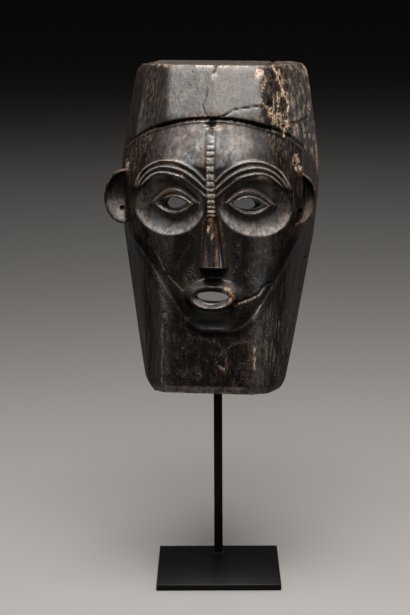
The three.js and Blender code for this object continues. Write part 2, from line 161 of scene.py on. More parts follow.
def curve_through(points: tuple[Point, ...], steps: int) -> Array:
    """Draw a smooth curve through points.

    Args:
        points: The points, in order.
        steps: How many equal parts the curve is divided into.

    Returns:
        The ends of the parts, one a row.
    """
    known = np.array(points, float)
    known = np.vstack([known[:1], known, known[-1:]])
    fine = []
    for i in range(1, len(known) - 2):
        before, here, there, after = known[i - 1 : i + 3]
        for t in np.linspace(0, 1, CURVE_PARTS, endpoint=False):
            bend = (there - before) * t + (2 * before - 5 * here + 4 * there - after) * t * t
            fine.append(here + 0.5 * (bend + (3 * here - before - 3 * there + after) * t**3))
    fine = np.array(fine + [known[-1]])
    run = np.concatenate([[0], np.cumsum(np.hypot(*np.diff(fine, axis=0).T))])
    at = np.linspace(0, run[-1], steps + 1)
    return np.column_stack([np.interp(at, run, fine[:, 0]), np.interp(at, run, fine[:, 1])])


@dataclass(frozen=True)
class Roughness:
    """Smooth random heights from -1 to 1 over space, the same on every run.

    Attributes:
        seed: Which pattern it is.
        size: How wide its bumps are along each axis.
    """

    seed: int
    size: Place

    def at(self, x: Array, y: Array, z: Array) -> Array:
        """Find the height at places.

        Args:
            x: Places along the first axis.
            y: Places along the second.
            z: Places along the third.

        Returns:
            The heights.
        """
        table = np.random.default_rng(self.seed).uniform(-1, 1, NOISE_VALUES)
        places = [np.asarray(c, float) / size for c, size in zip(np.broadcast_arrays(x, y, z), self.size)]
        cells = [np.floor(c).astype(np.int64) for c in places]
        shares = [ease(0, 1, c - cell) for c, cell in zip(places, cells)]
        total = np.zeros(places[0].shape)
        for corner in range(8):
            key, weight = 0, 1.0
            for axis, (cell, share, prime) in enumerate(zip(cells, shares, NOISE_PRIMES)):
                step = (corner >> axis) & 1
                key = key ^ ((cell + step) * prime)
                weight = weight * (share if step else 1 - share)
            total += weight * table[key & (NOISE_VALUES - 1)]
        return total


def graded(stops: Knots, end: float) -> Array:
    """Return stations whose spacing changes at stops.

    Args:
        stops: Each place with the spacing that holds from there.
        end: The last station.

    Returns:
        The stations, both ends among them.
    """
    stations = []
    coarser = fineness(1)
    limits = [place for place, _ in stops[1:]] + [end]
    for (start, spacing), limit in zip(stops, limits):
        count = max(1, round((limit - start) / (spacing * coarser)))
        stations.append(np.linspace(start, limit, count, endpoint=False))
    return np.concatenate(stations + [[end]])


def fineness(full: int) -> int:
    return full


def turn_round(steps: int) -> Array:
    """Return the angles of evenly spaced places round a circle."""
    return np.linspace(0, 2 * math.pi, steps, endpoint=False)


# Meshes


def welded(name: str, points: Array, faces: list[list[int]]) -> Piece:
    """Make a closed mesh of points and faces, with equal points made one.

    Args:
        name: The object's name.
        points: Corners, in millimetres in the mask's frame.
        faces: Corner numbers of each face. A face that collapses is left out.

    Returns:
        The new object, linked to the scene.
    """
    keys = np.round(np.asarray(points) * WELD_GRID).astype(np.int64)
    _, first, same = np.unique(keys, axis=0, return_index=True, return_inverse=True)
    same = same.ravel()
    kept = []
    for face in faces:
        corners = [int(same[i]) for i in face]
        corners = [c for i, c in enumerate(corners) if c != corners[i - 1]]
        if len(corners) > 2:
            kept.append(corners)
    mesh = bpy.data.meshes.new(name)
    mesh.from_pydata(np.asarray(points)[first].tolist(), [], kept)
    mesh.update()
    face_outwards(mesh)
    return linked(name, mesh)


def linked(name: str, data: bpy.types.ID) -> Piece:
    """Put a new object in the scene.

    Args:
        name: The object's name.
        data: Its mesh, curve, camera or light.

    Returns:
        The object.
    """
    made = bpy.data.objects.new(name, data)
    bpy.context.scene.collection.objects.link(made)
    return made


def face_outwards(mesh: bpy.types.Mesh) -> None:
    """Turn every face of a closed mesh outwards.

    Args:
        mesh: The mesh.
    """
    work = bmesh.new()
    work.from_mesh(mesh)
    bmesh.ops.recalc_face_normals(work, faces=work.faces)
    if work.calc_volume(signed=True) < 0:
        bmesh.ops.reverse_faces(work, faces=work.faces)
    work.to_mesh(mesh)
    work.free()


def grid_faces(number: Array) -> list[list[int]]:
    """Return the faces of a grid of corner numbers."""
    around = (number[:-1, :-1], number[:-1, 1:], number[1:, 1:], number[1:, :-1])
    return np.stack([part.ravel() for part in around], axis=1).tolist()


def rings_mesh(name: str, rings: list[Array]) -> Piece:
    """Join rings into a closed skin, with a lid at each end.

    Args:
        name: The object's name.
        rings: The rings in order, each with as many points as the next.

    Returns:
        The new object.
    """
    number = np.arange(len(rings) * len(rings[0])).reshape(len(rings), -1)
    lids = [number[0].tolist(), number[-1].tolist()]
    return welded(name, np.vstack(rings), grid_faces(np.column_stack([number, number[:, 0]])) + lids)


def slot_through(name: str, front: Array, back: Array, depths: Place) -> Piece:
    """Make a cutter of one outline down to a depth, turning into another behind.

    Args:
        name: The object's name.
        front: Points of the front outline, x and z, one a row.
        back: Points of the back outline, as many.
        depths: Where the cutter starts, where it begins to turn and where it ends.

    Returns:
        The new object.
    """
    rings = []
    for line, y in zip((front, front, back), depths):
        rings.append(np.column_stack([line[:, 0], np.full(len(line), y), line[:, 1]]))
    return rings_mesh(name, rings)


class Axis(Enum):
    """The way that a hole is drilled."""

    ACROSS = 0
    INWARDS = 1


def bore(radius: float, length: float, axis: Axis, middle: Place) -> Piece:
    """Make a short round bar to drill with.

    Args:
        radius: Half its width.
        length: Its length.
        axis: The way it points.
        middle: The place of its middle.

    Returns:
        The new object.
    """
    angle = turn_round(BORE_STEPS)
    rings = []
    for end in (-length / 2, length / 2):
        parts = [radius * np.cos(angle), radius * np.sin(angle)]
        parts.insert(axis.value, np.full(len(angle), end))
        rings.append(np.column_stack(parts) + middle)
    return rings_mesh("bore", rings)


class Join(Enum):
    """How a second solid acts on the first."""

    ADD = "UNION"
    CUT = "DIFFERENCE"


def combine(body: Piece, other: Piece, join: Join) -> None:
    """Add other to body or cut it out, and remove other.

    Args:
        body: The solid that is changed.
        other: The solid that acts on it. Both must be closed.
        join: What is done.

    Raises:
        ValueError: The step changed nothing, as it does when a solid is open.
    """
    before = len(body.data.vertices)
    step = body.modifiers.new("combine", "BOOLEAN")
    step.operation = join.value
    step.solver = "MANIFOLD"
    step.object = other
    bake(body)
    if len(body.data.vertices) == before:
        raise ValueError(f"{other.name} left {body.name} as it was")
    bpy.data.objects.remove(other, do_unlink=True)


def bake(made: Piece) -> None:
    """Turn an object's modifiers into its plain mesh.

    Args:
        made: The object.
    """
    graph = bpy.context.evaluated_depsgraph_get()
    result = bpy.data.meshes.new_from_object(made.evaluated_get(graph))
    made.modifiers.clear()
    made.data = result


def set_attribute(made: Piece, name: str, values: Array) -> None:
    """Store a value for each vertex of a mesh under a name."""
    layer = made.data.attributes.new(name, "FLOAT", "POINT")
    layer.data.foreach_set("value", np.asarray(values, np.float32))


def read_rows(items: bpy.types.bpy_prop_collection, name: str, width: int, kind: type = float) -> Array:
    """Read a property of every vertex or edge of a mesh.

    Args:
        items: The mesh's vertices or edges.
        name: The property.
        width: How many numbers it has.
        kind: The type of its numbers.

    Returns:
        The property, one item a row.
    """
    flat = np.empty(len(items) * width, kind)
    items.foreach_get(name, flat)
    return flat.reshape(-1, width)


def bends(mesh: bpy.types.Mesh) -> Array:
    """Measure how sharply a surface bends.

    Args:
        mesh: The surface.

    Returns:
        The bend at each vertex, positive in hollows.
    """
    points, normals = read_rows(mesh.vertices, "co", 3), read_rows(mesh.vertices, "normal", 3)
    first, second = read_rows(mesh.edges, "vertices", 2, np.int64).T
    way = points[second] - points[first]
    way /= np.maximum(np.linalg.norm(way, axis=1, keepdims=True), SHORTEST_EDGE)
    total, count = np.zeros(len(points)), np.zeros(len(points))
    for here, sign in ((first, 1), (second, -1)):
        np.add.at(total, here, sign * (way * normals[here]).sum(axis=1))
        np.add.at(count, here, 1)
    bend = total / np.maximum(count, 1)
    for _ in range(BEND_PASSES):
        near, count = bend.copy(), np.ones(len(points))
        for here, there in ((first, second), (second, first)):
            np.add.at(near, here, bend[there])
            np.add.at(count, here, 1)
        bend = near / count
    return bend


def shade_smooth(made: Piece, sharp_degrees: float) -> None:
    """Shade a mesh smoothly, with edges sharper than an angle left crisp."""
    made.data.polygons.foreach_set("use_smooth", [True] * len(made.data.polygons))
    made.data.set_sharp_from_angle(angle=math.radians(sharp_degrees))


# Finishes


class Shader:
    """A node tree under construction, ending in one Principled shader."""

    def __init__(self, name: str) -> None:
        """Start a material that has only its shader and output.

        Args:
            name: The material's name.
        """
        self.material = bpy.data.materials.new(name)
        self.material.use_nodes = True
        self.tree = self.material.node_tree
        self.principled = self.tree.nodes["Principled BSDF"]

    def feed(self, node: bpy.types.Node, inputs: dict[str | int, Given]) -> bpy.types.Node:
        """Link inputs of a node to other nodes, or set their values.

        Args:
            node: The node.
            inputs: What each input gets, by its name or number.

        Returns:
            The node.
        """
        for key, given in inputs.items():
            if isinstance(given, Socket):
                self.tree.links.new(given, node.inputs[key])
            else:
                node.inputs[key].default_value = given
        return node

    def node(self, kind: str, inputs: dict[str | int, Given], **settings: str | bool) -> bpy.types.Node:
        """Add a node.

        Args:
            kind: Its type.
            inputs: What each input gets, by its name or number.
            **settings: Values of its properties.

        Returns:
            The new node.
        """
        made = self.tree.nodes.new(kind)
        for key, value in settings.items():
            setattr(made, key, value)
        return self.feed(made, inputs)

    def place(self, stretch: Place) -> Socket:
        """Return the object's own coordinates, tilted like the wood's grain and stretched.

        Args:
            stretch: How many times each axis is stretched.

        Returns:
            The coordinates.
        """
        own = self.node("ShaderNodeTexCoord", {}).outputs["Object"]
        inputs = {"Vector": own, "Rotation": GRAIN_TILT, "Scale": stretch}
        return self.node("ShaderNodeMapping", inputs).outputs["Vector"]

    def noise(self, stretch: Place, detail: float) -> Socket:
        """Return a noise with bumps 1 / stretch metres wide."""
        inputs = {"Scale": 1.0, "Detail": detail, "Vector": self.place(stretch)}
        return self.node("ShaderNodeTexNoise", inputs).outputs["Fac"]

    def attribute(self, name: str) -> Socket:
        """Return a value stored on the mesh."""
        return self.node("ShaderNodeAttribute", {}, attribute_name=name).outputs["Fac"]

    def times(self, first: Given, second: Given) -> Socket:
        """Return the product of two values, kept from 0 to 1."""
        inputs = {0: first, 1: second}
        return self.node("ShaderNodeMath", inputs, operation="MULTIPLY", use_clamp=True).outputs[0]

    def larger(self, first: Given, second: Given) -> Socket:
        """Return the larger of two values, kept from 0 to 1."""
        inputs = {0: first, 1: second}
        return self.node("ShaderNodeMath", inputs, operation="MAXIMUM", use_clamp=True).outputs[0]

    def remap(self, value: Given, low: float, high: float, to_low: float = 0, to_high: float = 1) -> Socket:
        """Return a value with low to high stretched smoothly to another range."""
        inputs = dict(enumerate((value, low, high, to_low, to_high)))
        return self.node("ShaderNodeMapRange", inputs, interpolation_type="SMOOTHSTEP").outputs["Result"]

    def blend(self, share: Given, first: Given, second: Given) -> Socket:
        """Return a colour a share of the way from first to second."""
        return self.node("ShaderNodeMix", {0: share, 6: first, 7: second}, data_type="RGBA").outputs[2]

    def bump(self, height: Given, distance: Given, under: dict[str, Socket]) -> Socket:
        """Return normals raised by a height of so many metres, over other normals if any are given."""
        inputs = {"Strength": 1.0, "Distance": distance, "Height": height}
        return self.node("ShaderNodeBump", inputs | under).outputs["Normal"]


@dataclass(frozen=True)
class OldWood:
    """Dark carved wood, polished by hands, worn brown on its edges and bare in its chips, with light painted
    on its lit places and shade painted in its hollows.

    Attributes:
        dark: Its darker patches.
        brown: Its browner patches.
        dust: Specks on its coarse places.
        line: The lines of its open grain.
        worn: Where it is worn brown.
        bare: Where bare wood shows, and the thin highlight painted along the jaw's edge.
        grime_and_shade: The near black laid in its hollows, grooves and overhung places, partly dirt and
            partly painted shade.
        film_and_painted_light_cool: The pale film of handling, with the painted light laid over lit places,
            where it is grey.
        film_and_painted_light_warm: The same where it is browner.
        sheen: The tint of its reflections.
        gloss: The roughness of its polished places.
        dull: The roughness of its coarse places.
        sheen_light: How strongly polished places reflect.
        sheen_dull: How strongly coarse places do.
        coat: How much polish lies on it.
        coat_roughness: The roughness of that polish.
        refraction: How strongly light bends in it.
    """

    dark: Colour = (0.0054, 0.0041, 0.0034, 1)
    brown: Colour = (0.0092, 0.006, 0.0043, 1)
    dust: Colour = (0.15, 0.125, 0.105, 1)
    line: Colour = (0.13, 0.082, 0.056, 1)
    worn: Colour = (0.122, 0.049, 0.022, 1)
    bare: Colour = (0.42, 0.31, 0.22, 1)
    grime_and_shade: Colour = (0.003, 0.0025, 0.002, 1)
    film_and_painted_light_cool: Colour = (0.196, 0.192, 0.189, 1)
    film_and_painted_light_warm: Colour = (0.228, 0.188, 0.163, 1)
    sheen: Colour = (1, 0.95, 0.9, 1)
    gloss: float = 0.33
    dull: float = 0.5
    sheen_light: float = 0.5
    sheen_dull: float = 0.07
    coat: float = 0.4
    coat_roughness: float = 0.25
    refraction: float = 1.5

    def colour(self, shader: Shader, noises: dict[str, Socket]) -> Socket:
        """Lay the wood's colours one over the other.

        Args:
            shader: The material under construction.
            noises: Its patterns, by name.

        Returns:
            The colour.
        """
        coarse, fleck = shader.attribute("coarse"), noises["fleck"]
        mist = shader.remap(shader.noise((300, 300, 200), 8), 0.38, 0.6, 0.5, 1)
        mist = shader.times(mist, shader.remap(shader.noise((85, 85, 60), 6), 0.4, 0.58, 0.55, 1))
        warmth = shader.remap(shader.noise((80, 80, 55), 6), 0.42, 0.58)
        rubbed = shader.times(shader.remap(noises["patch"], 0.47, 0.68), shader.remap(coarse, 0, 1, 0.15, 1))
        colour = shader.blend(shader.remap(noises["cloud"], 0.36, 0.66), self.dark, self.brown)
        for share, limit, coat in (
            (shader.remap(noises["streak"], 0.5, 0.66, 0, 0.38), shader.attribute("grain"), self.line),
            (shader.remap(noises["speck"], 0.55, 0.66), rubbed, self.dust),
            (shader.remap(fleck, 0.42, 0.6), shader.attribute("worn"), self.worn),
            (shader.remap(fleck, 0.4, 0.56), shader.attribute("bare"), self.bare),
            # Pale film, most of it painted light on places that face the lamps.
            (mist, shader.attribute("film_and_painted_light"), shader.blend(warmth, self.film_and_painted_light_cool, self.film_and_painted_light_warm)),
            # Near black in hollows, and painted shade in grooves, under the brows and about the jaw.
            (1.0, shader.attribute("grime_and_shade"), self.grime_and_shade),
        ):
            colour = shader.blend(shader.times(share, limit), colour, coat)
        return colour

    def make(self) -> bpy.types.Material:
        """Make the material.

        Returns:
            The material.
        """
        shader = Shader("old_wood")
        coarse, grime_and_shade = shader.attribute("coarse"), shader.attribute("grime_and_shade")
        noises = {
            "speck": shader.noise((1500, 1500, 1100), 3),
            "fleck": shader.noise((620, 620, 380), 5),
            "patch": shader.noise((120, 120, 70), 6),
            "cloud": shader.noise((38, 38, 26), 5),
            "streak": shader.noise((520, 520, 34), 4),
        }
        under = {}
        for name, starts, shallow, deep in (
            ("speck", 0, 0.05 * MM, 0.4 * MM), ("fleck", 0.45, 0.2 * MM, 0.9 * MM),
            ("patch", 0.45, 0.3 * MM, 1.2 * MM), ("streak", 0, 0.03 * MM, 0.3 * MM),
        ):
            depth = shader.remap(coarse, starts, 1, shallow, deep)
            under = {"Normal": shader.bump(noises[name], depth, under)}
        clouded = shader.times(shader.remap(noises["cloud"], 0.4, 0.6), 0.55)
        dulled = shader.larger(shader.larger(grime_and_shade, coarse), clouded)
        dim = shader.larger(grime_and_shade, shader.times(shader.larger(clouded, coarse), 0.92))
        shader.feed(shader.principled, under | {
            "Base Color": self.colour(shader, noises),
            "Roughness": shader.remap(dulled, 0, 1, self.gloss, self.dull),
            "Specular IOR Level": shader.remap(dim, 0, 1, self.sheen_light, self.sheen_dull),
            "Specular Tint": self.sheen,
            "Coat Weight": shader.remap(dulled, 0, 0.7, self.coat, 0),
            "Coat Roughness": self.coat_roughness,
            "IOR": self.refraction,
        })
        return shader.material


@dataclass(frozen=True)
class BlackSteel:
    """Steel painted a satin black.

    Attributes:
        paint: Its colour.
        roughness: How dull the paint is.
        sheen: How strongly it reflects.
        grain: Bumps in a metre of the paint, along each axis.
        grain_depth: How deep they are.
    """

    paint: Colour = (0.0058, 0.0056, 0.0055, 1)
    roughness: float = 0.3
    sheen: float = 0.15
    grain: Place = (700, 700, 700)
    grain_depth: float = 0.06 * MM

    def make(self) -> bpy.types.Material:
        """Make the material.

        Returns:
            The material.
        """
        shader = Shader("black_steel")
        shader.feed(shader.principled, {
            "Base Color": self.paint,
            "Roughness": self.roughness,
            "Specular IOR Level": self.sheen,
            "Normal": shader.bump(shader.noise(self.grain, 3), self.grain_depth, {}),
        })
        return shader.material


# The carving


@dataclass(frozen=True)
class Line:
    """A crack, a scratch or a chipped edge.

    Attributes:
        path: Its points, x and z.
        width: Half its width.
        depth: How deep it goes.
        dark: How dark its bottom is, from 0 to 1.
        bare: How much bare wood it shows, from 0 to 1.
        worn: How brown it is worn, from 0 to 1.
    """

    path: tuple[Point, ...]
    width: float = 0.8
    depth: float = 1.0
    dark: float = 0.8
    bare: float = 0.0
    worn: float = 0.0

    def near(self, x: Array, z: Array) -> Array:
        """Return 1 on the line and 0 away from it."""
        wander = 0.8 * Roughness(11, (5, 5, 1)).at(x, z, 0)
        return bell(line_distance(np.array(self.path), x + wander, z - wander) / self.width)


@dataclass(frozen=True)
class Spot:
    """A round or oval worn place, chip or pit.

    Attributes:
        x: Its middle across.
        z: Its middle up.
        wide: Half its width.
        tall: Half its height.
        depth: How deep it goes.
        dark: How dark it is, from 0 to 1.
        bare: How much bare wood it shows, from 0 to 1.
        worn: How brown it is worn, from 0 to 1.
    """

    x: float
    z: float
    wide: float
    tall: float
    depth: float = 0.0
    dark: float = 0.0
    bare: float = 0.0
    worn: float = 0.0

    def near(self, x: Array, z: Array) -> Array:
        """Return 1 on the spot and 0 away from it."""
        size = np.hypot((x - self.x) / self.wide, (z - self.z) / self.tall)
        return 1 - ease(0.55, 1.1, size + 0.25 * Roughness(12, (1.7, 1.7, 1)).at(x, z, 0))


# Cracks, scratches, knife marks, chips and worn places, in the mask's frame.
MARKS = (
    Line(((0.2, 260), (6, 263), (11.4, 265.5), (18, 269.5), (25.2, 271.5), (36.4, 273.5), (45.8, 273),
          (52.8, 277)), 0.55, 1.0, 0.95),
    Line(((-6.7, 288), (-8, 281), (-9.8, 273.6), (-8.4, 269), (-6.6, 265.9), (-1.7, 261)), 0.5, 0.7, 0.85),
    Line(((-1.8, 305), (0.5, 308), (2.6, 312)), 0.7, 1, 0.7),
    Line(((53.4, 311), (57.3, 306), (62.4, 291), (68.3, 279), (69.5, 270), (67.1, 257.5), (66.4, 246)),
         0.9, 0.8, 0, 0.9),
    Line(((47, 276), (52.2, 271.5), (58.7, 264), (62.6, 257), (65.9, 250)), 0.9, 0.5, 0, 0.65),
    Line(((55.8, 283), (56.1, 277), (56.3, 271)), 0.7, 0.4, 0, 0.45),
    Line(((72, 258), (78.6, 259), (86, 262)), 1.2, 1.2, 0.5, 0.2),
    Line(((21.9, 87.2), (29, 89), (37.9, 92.2), (45.2, 97.1), (51.5, 103.9), (56, 107.8)), 0.8, 1.5, 0.85),
    Line(((24, 85.4), (37.9, 90.2), (46, 95.4), (51, 101)), 1.0, -0.15, 0, 0.5),
    Line(((-45.5, 66), (-45, 44), (-45, 30), (-44.6, 10)), 0.7, 0.3, 0, 0.36),
    Line(((-42.6, 60), (-42.4, 40), (-42.2, 12)), 0.8, 0.3, 0.6),
    Spot(-44.8, 13, 1.4, 3, 0.2, 0, 0.5, 1),
    Line(((50.1, 87.7), (46, 80), (40.4, 71.4)), 0.7, 0.3, 0, 0.35),
    Line(((-55.3, 136.2), (-50, 127), (-44.8, 117.2)), 0.8, 0.4, 0, 0.3),
    Line(((-41.5, 112.4), (-34, 105), (-26.9, 98.4)), 0.8, 0.5, 0, 0.3),
    Line(((-20, 56.5), (-13.5, 54), (-3, 52.4), (5.6, 49.7), (11, 46), (14.4, 42.3)), 0.9, 0.5, 0.25, 0.12),
    Line(((38.9, 51.4), (31, 50.8), (24.7, 49.2), (19.5, 46), (16.3, 42.3)), 0.9, 0.5, 0.25, 0.12),
    Line(((16.3, 42.3), (16.6, 30), (15.9, 18.6)), 0.7, 0.4, 0.3, 0.1),
    Line(((43.2, 46), (43.6, 38), (43.4, 31), (43.9, 25)), 1.0, 0.6, 0, 0.6),
    Spot(52.8, 275.5, 3, 3, 1.8, 0.9),
    Spot(42, 305.5, 5, 5.5, 0.5, 0, 0.55, 0.6),
    Spot(46, 294, 2.6, 7, 0.4, 0, 0.4, 0.5),
    Spot(-0.8, 303, 3, 4, 0.2, 0, 0.3, 0.5),
    Spot(-85, 217.5, 4, 6, 1.4, 0, 1),
    Spot(78.5, 223, 4.6, 7, 0.3, 0, 0.5),
    Spot(80.5, 216.5, 4, 3.4, 0.4, 0, 0.75),
    Spot(53, 269, 2.6, 4.4, 1, 0, 0.6, 0.5),
    Spot(6, 255, 4.4, 5.4, 0.5, 0, 0.14, 0.9),
    Spot(-8.5, 260.5, 4.6, 2.4, 0.4, 0, 0.12, 0.9),
    Spot(-1.3, 257, 6, 5, 1.5, 0.95, 0, 0.4),
    Spot(-1.5, 250.5, 2.4, 6, 0.9, 0.7, 0, 0.6),
    Spot(-9, 265, 15, 2.2, 0.2, 0.2, 0, 0.9),
    Spot(-31.6, 205.6, 6, 2.6, 0.4, 0, 0.45, 1),
    Spot(47.4, 206.4, 6, 2.6, 0.4, 0, 0.45, 1),
    Spot(-1.6, 156, 1.5, 4.5, 0.2, 0, 0.6, 0.5),
    Spot(2.4, 149.6, 1.4, 3.6, 0.2, 0, 0.55, 0.5),
    Spot(15.8, 98.6, 4.6, 3.6, 0.3, 0, 0.42, 0.9),
    Spot(21.2, 92, 3, 6, 0.3, 0, 0.3, 0.9),
    Spot(13.8, 25.2, 4.5, 3.6, 0.4, 0, 0.3, 0.2),
    Spot(-42.7, 74, 1.8, 3, 0.2, 0, 0.3),
    Spot(-44.4, 60, 1.4, 2.4, 0.2, 0, 0.25),
)


@dataclass(frozen=True)
class Jaw:
    """The face's lower edge, level under the chin and rising at both sides.

    Attributes:
        z: Where its level part lies.
        left: How far that part goes left of the face's middle.
        left_slope: How steeply the edge rises past it.
        right: How far the level part goes right.
        right_slope: How steeply the edge rises there.
        bend: How far either side the turn is eased.
        edge: How far the edge stands out.
        inward: How far above the edge its crest lies.
        width: Half the crest's width.
        melt: How softly the face meets the block, away from the chin.
        melt_chin: How softly it meets it at the chin.
    """

    z: float = 59.5
    left: float = 19.5
    left_slope: float = 1.42
    right: float = 34.2
    right_slope: float = 1.93
    bend: float = 16
    edge: float = 0.6
    inward: float = 0.9
    width: float = 1.25
    melt: float = 10
    melt_chin: float = 2.4

    def gap(self, u: Array, z: Array) -> Array:
        """Measure how far places lie above the edge.

        Args:
            u: Places right of the face's middle.
            z: Places up.

        Returns:
            The gap, below 0 under the edge.
        """
        slope = np.where(u < 0, self.left_slope, self.right_slope)
        past = np.abs(u) - np.where(u < 0, self.left, self.right)
        edge = self.z + slope * ramp(past, self.bend)
        return (z - edge) / np.hypot(1, slope * np.clip((past / self.bend + 1) / 2, 0, 1))


@dataclass(frozen=True)
class Arch:
    """The arched groove that parts the forehead from the crown, with a raised lip inside it.

    Attributes:
        half: Half the arch's width.
        z: Where it springs from.
        rise: How far it rises.
        groove: The groove's depth.
        wide: Half the groove's width.
        lip: How far the lip stands out.
        inward: How far inside the groove it lies.
        lip_wide: Half the lip's width.
        fades: Where the groove begins and where it is whole, up the mask.
    """

    half: float = 97
    z: float = 210
    rise: float = 52
    groove: float = 1.8
    wide: float = 1.2
    lip: float = 1
    inward: float = 2.6
    lip_wide: float = 1.3
    fades: Point = (190, 215)

    def gap(self, x: Array, z: Array) -> Array:
        """Measure how far places lie below the groove.

        Args:
            x: Places across.
            z: Places up.

        Returns:
            The gap, below 0 on the crown.
        """
        u, v = x / self.half, np.maximum(0, z - self.z) / self.rise
        size = np.maximum(np.hypot(u, v), TINY)
        slope = np.hypot(u / size / self.half, v / size / self.rise)
        return (1 - size) / np.maximum(slope, TINY)


@dataclass(frozen=True)
class EyeSocket:
    """The round hollow that an eye lies in.

    Attributes:
        x: Its middle, from the face's.
        z: Its middle up.
        half: Half its width.
        up: How far it reaches upwards.
        down: How far it reaches downwards.
        deepest: Its depth in the middle.
    """

    x: float = 41
    z: float = 180
    half: float = 35.5
    up: float = 27
    down: float = 30
    deepest: float = 13

    def depth(self, side: Array, z: Array) -> Array:
        """Return how deep the hollow is, side being the way from the face's middle."""
        rise = (z - self.z) / np.where(z > self.z, self.up, self.down)
        return self.deepest * np.maximum(0, 1 - ((side - self.x) / self.half) ** 2 - rise**2)


@dataclass(frozen=True)
class Eye:
    """An eyeball with its two carved lids.

    Attributes:
        x: Its place from the face's middle.
        z: Its place up.
        half: Half its width.
        tall: Half its height.
        bulge: How far it stands out of its socket.
        upper_rise: Where the upper half rises, as shares of the way in from the outline.
        upper_folds: The upper lid's folds: how far each stands out, its place inwards and half its width.
        lower_rise: Where the lower half rises.
        lower_folds: The lower lid's folds.
    """

    x: float = 36.2
    z: float = 180
    half: float = 22
    tall: float = 12.4
    bulge: float = 7.5
    upper_rise: Point = (-0.42, -0.05)
    upper_folds: tuple[Place, ...] = ((-1.6, 0.22, 0.07), (0.9, 0.42, 0.1))
    lower_rise: Point = (-0.1, 0.34)
    lower_folds: tuple[Place, ...] = ((-1.3, 0.06, 0.07), (1.1, 0.3, 0.1), (-1.5, 0.55, 0.09))

    def inwards(self, side: Array, z: Array) -> Array:
        """Return the share of the way in from the outline, 1 in the middle and below 0 outside."""
        return 1 - ((side - self.x) / self.half) ** 2 - np.abs(z - self.z) / self.tall

    def height(self, side: Array, z: Array) -> Array:
        """Measure how far the eyeball and its lids stand out.

        Args:
            side: Places to either side of the face's middle.
            z: Places up.

        Returns:
            The height.
        """
        inwards = self.inwards(side, z)
        halves = []
        for rise, folds in ((self.lower_rise, self.lower_folds), (self.upper_rise, self.upper_folds)):
            height = self.bulge * ease(*rise, inwards)
            for tall, place, wide in folds:
                height = height + tall * bell((inwards - place) / wide)
            halves.append(height)
        return mix(*halves, ease(-2, 2, z - self.z))


@dataclass(frozen=True)
class Slit:
    """The open slit of an eye, narrower, higher and nearer the nose behind than in front.

    Attributes:
        left: The middle of the left one.
        right: The middle of the right one.
        z: Their place up.
        half: Half the width in front.
        tall: Half the height in front.
        pointed: How pointed the ends are, 1 being round.
        back: Half the width behind.
        raised: How much higher the slit goes behind.
        depths: Where the cutter starts, begins to turn and ends.
    """

    left: float = -39.8
    right: float = 34.6
    z: float = 181.4
    half: float = 15.5
    tall: float = 5.0
    pointed: float = 1.5
    back: float = 8.8
    raised: float = 4
    depths: Place = (-20, -4, 24)

    def cutter(self, side: int) -> Piece:
        """Make the cutter of a slit.

        Args:
            side: -1 for the left eye and 1 for the right.

        Returns:
            The cutter.
        """
        middle = self.left if side < 0 else self.right
        angle = turn_round(SLIT_STEPS)
        up = powered(np.sin(angle), self.pointed)
        tall = np.where(up > 0, self.tall + self.raised, self.tall)
        shift = side * (self.back - self.half)
        front = np.column_stack([middle + self.half * np.cos(angle), self.z + self.tall * up])
        back = np.column_stack([middle + shift + self.back * np.cos(angle), self.z + tall * up])
        return slot_through("eye_cut", front, back, self.depths)


@dataclass(frozen=True)
class Brow:
    """The three ridges of a brow, drawn for the right one.

    Attributes:
        upper: Points of the top ridge, x and z.
        lower: Points of the bottom ridge. The middle one runs between.
        tall: How far a ridge stands out.
        wide: Half its width.
        steps: Straight pieces that it is measured by.
    """

    upper: tuple[Point, ...] = (
        (4.8, 201), (14.5, 210.5), (28, 218), (41, 220.7), (53, 219.2), (65, 212.5), (71.5, 203.5),
        (76, 193.5))
    lower: tuple[Point, ...] = (
        (4.8, 186.5), (14.3, 195), (26.5, 203.7), (43, 209), (55.6, 207.6), (66.5, 198.7), (73.5, 189))
    tall: float = 1.7
    wide: float = 1.4
    steps: int = 30

    def height(self, side: Array, z: Array) -> Array:
        """Measure how far the ridges stand out.

        Args:
            side: Places to either side of the face's middle.
            z: Places up.

        Returns:
            The height.
        """
        upper, lower = (curve_through(points, self.steps) for points in (self.upper, self.lower))
        lines = [mix(upper, lower, share) for share in (0, 0.5, 1)]
        ridges = sum(bell(line_distance(line, side, z) / self.wide) for line in lines)
        return self.tall * ridges * (1 - ease(60, 70, side) * ease(202, 190, z))


@dataclass(frozen=True)
class Nose:
    """The long nose, a narrow ridge that broadens downwards.

    Attributes:
        top: Where it starts between the brows.
        base: Where it ends.
        root: The ridge's depth at the top.
        tip: The ridge's depth at the base.
        thin: Half its width at the top.
        broad: Half its width at the base.
        round: How much the ridge's sides fall back.
        fall: How far the slopes fall at the top and at the base.
        flare: How wide the slopes spread.
        under: How far below the base its underside ends.
    """

    top: float = 178
    base: float = 119.5
    root: float = -11
    tip: float = -30.5
    thin: float = 3.6
    broad: float = 9.2
    round: float = 2.4
    fall: Point = (4, 26)
    flare: float = 2.6
    under: float = 2

    def depth(self, side: Array, z: Array) -> Array:
        """Measure the depth of the ridge, its slopes and its underside.

        Args:
            side: Places to either side of the face's middle.
            z: Places up.

        Returns:
            The depth, which lies behind the face away from the nose.
        """
        down = np.clip((self.top - z) / (self.top - self.base), 0, 1)
        half = mix(self.thin, self.broad, down)
        fall = mix(*self.fall, down) / (self.flare * (1 + down))
        under = np.maximum(0, self.base - z) / self.under * self.fall[1]
        ridge = mix(self.root, self.tip, down) + self.round * np.minimum(1.2, side / half) ** 2
        return ridge + ramp(side - half, 0.9) * fall + under + np.maximum(0, z - self.top) * 2


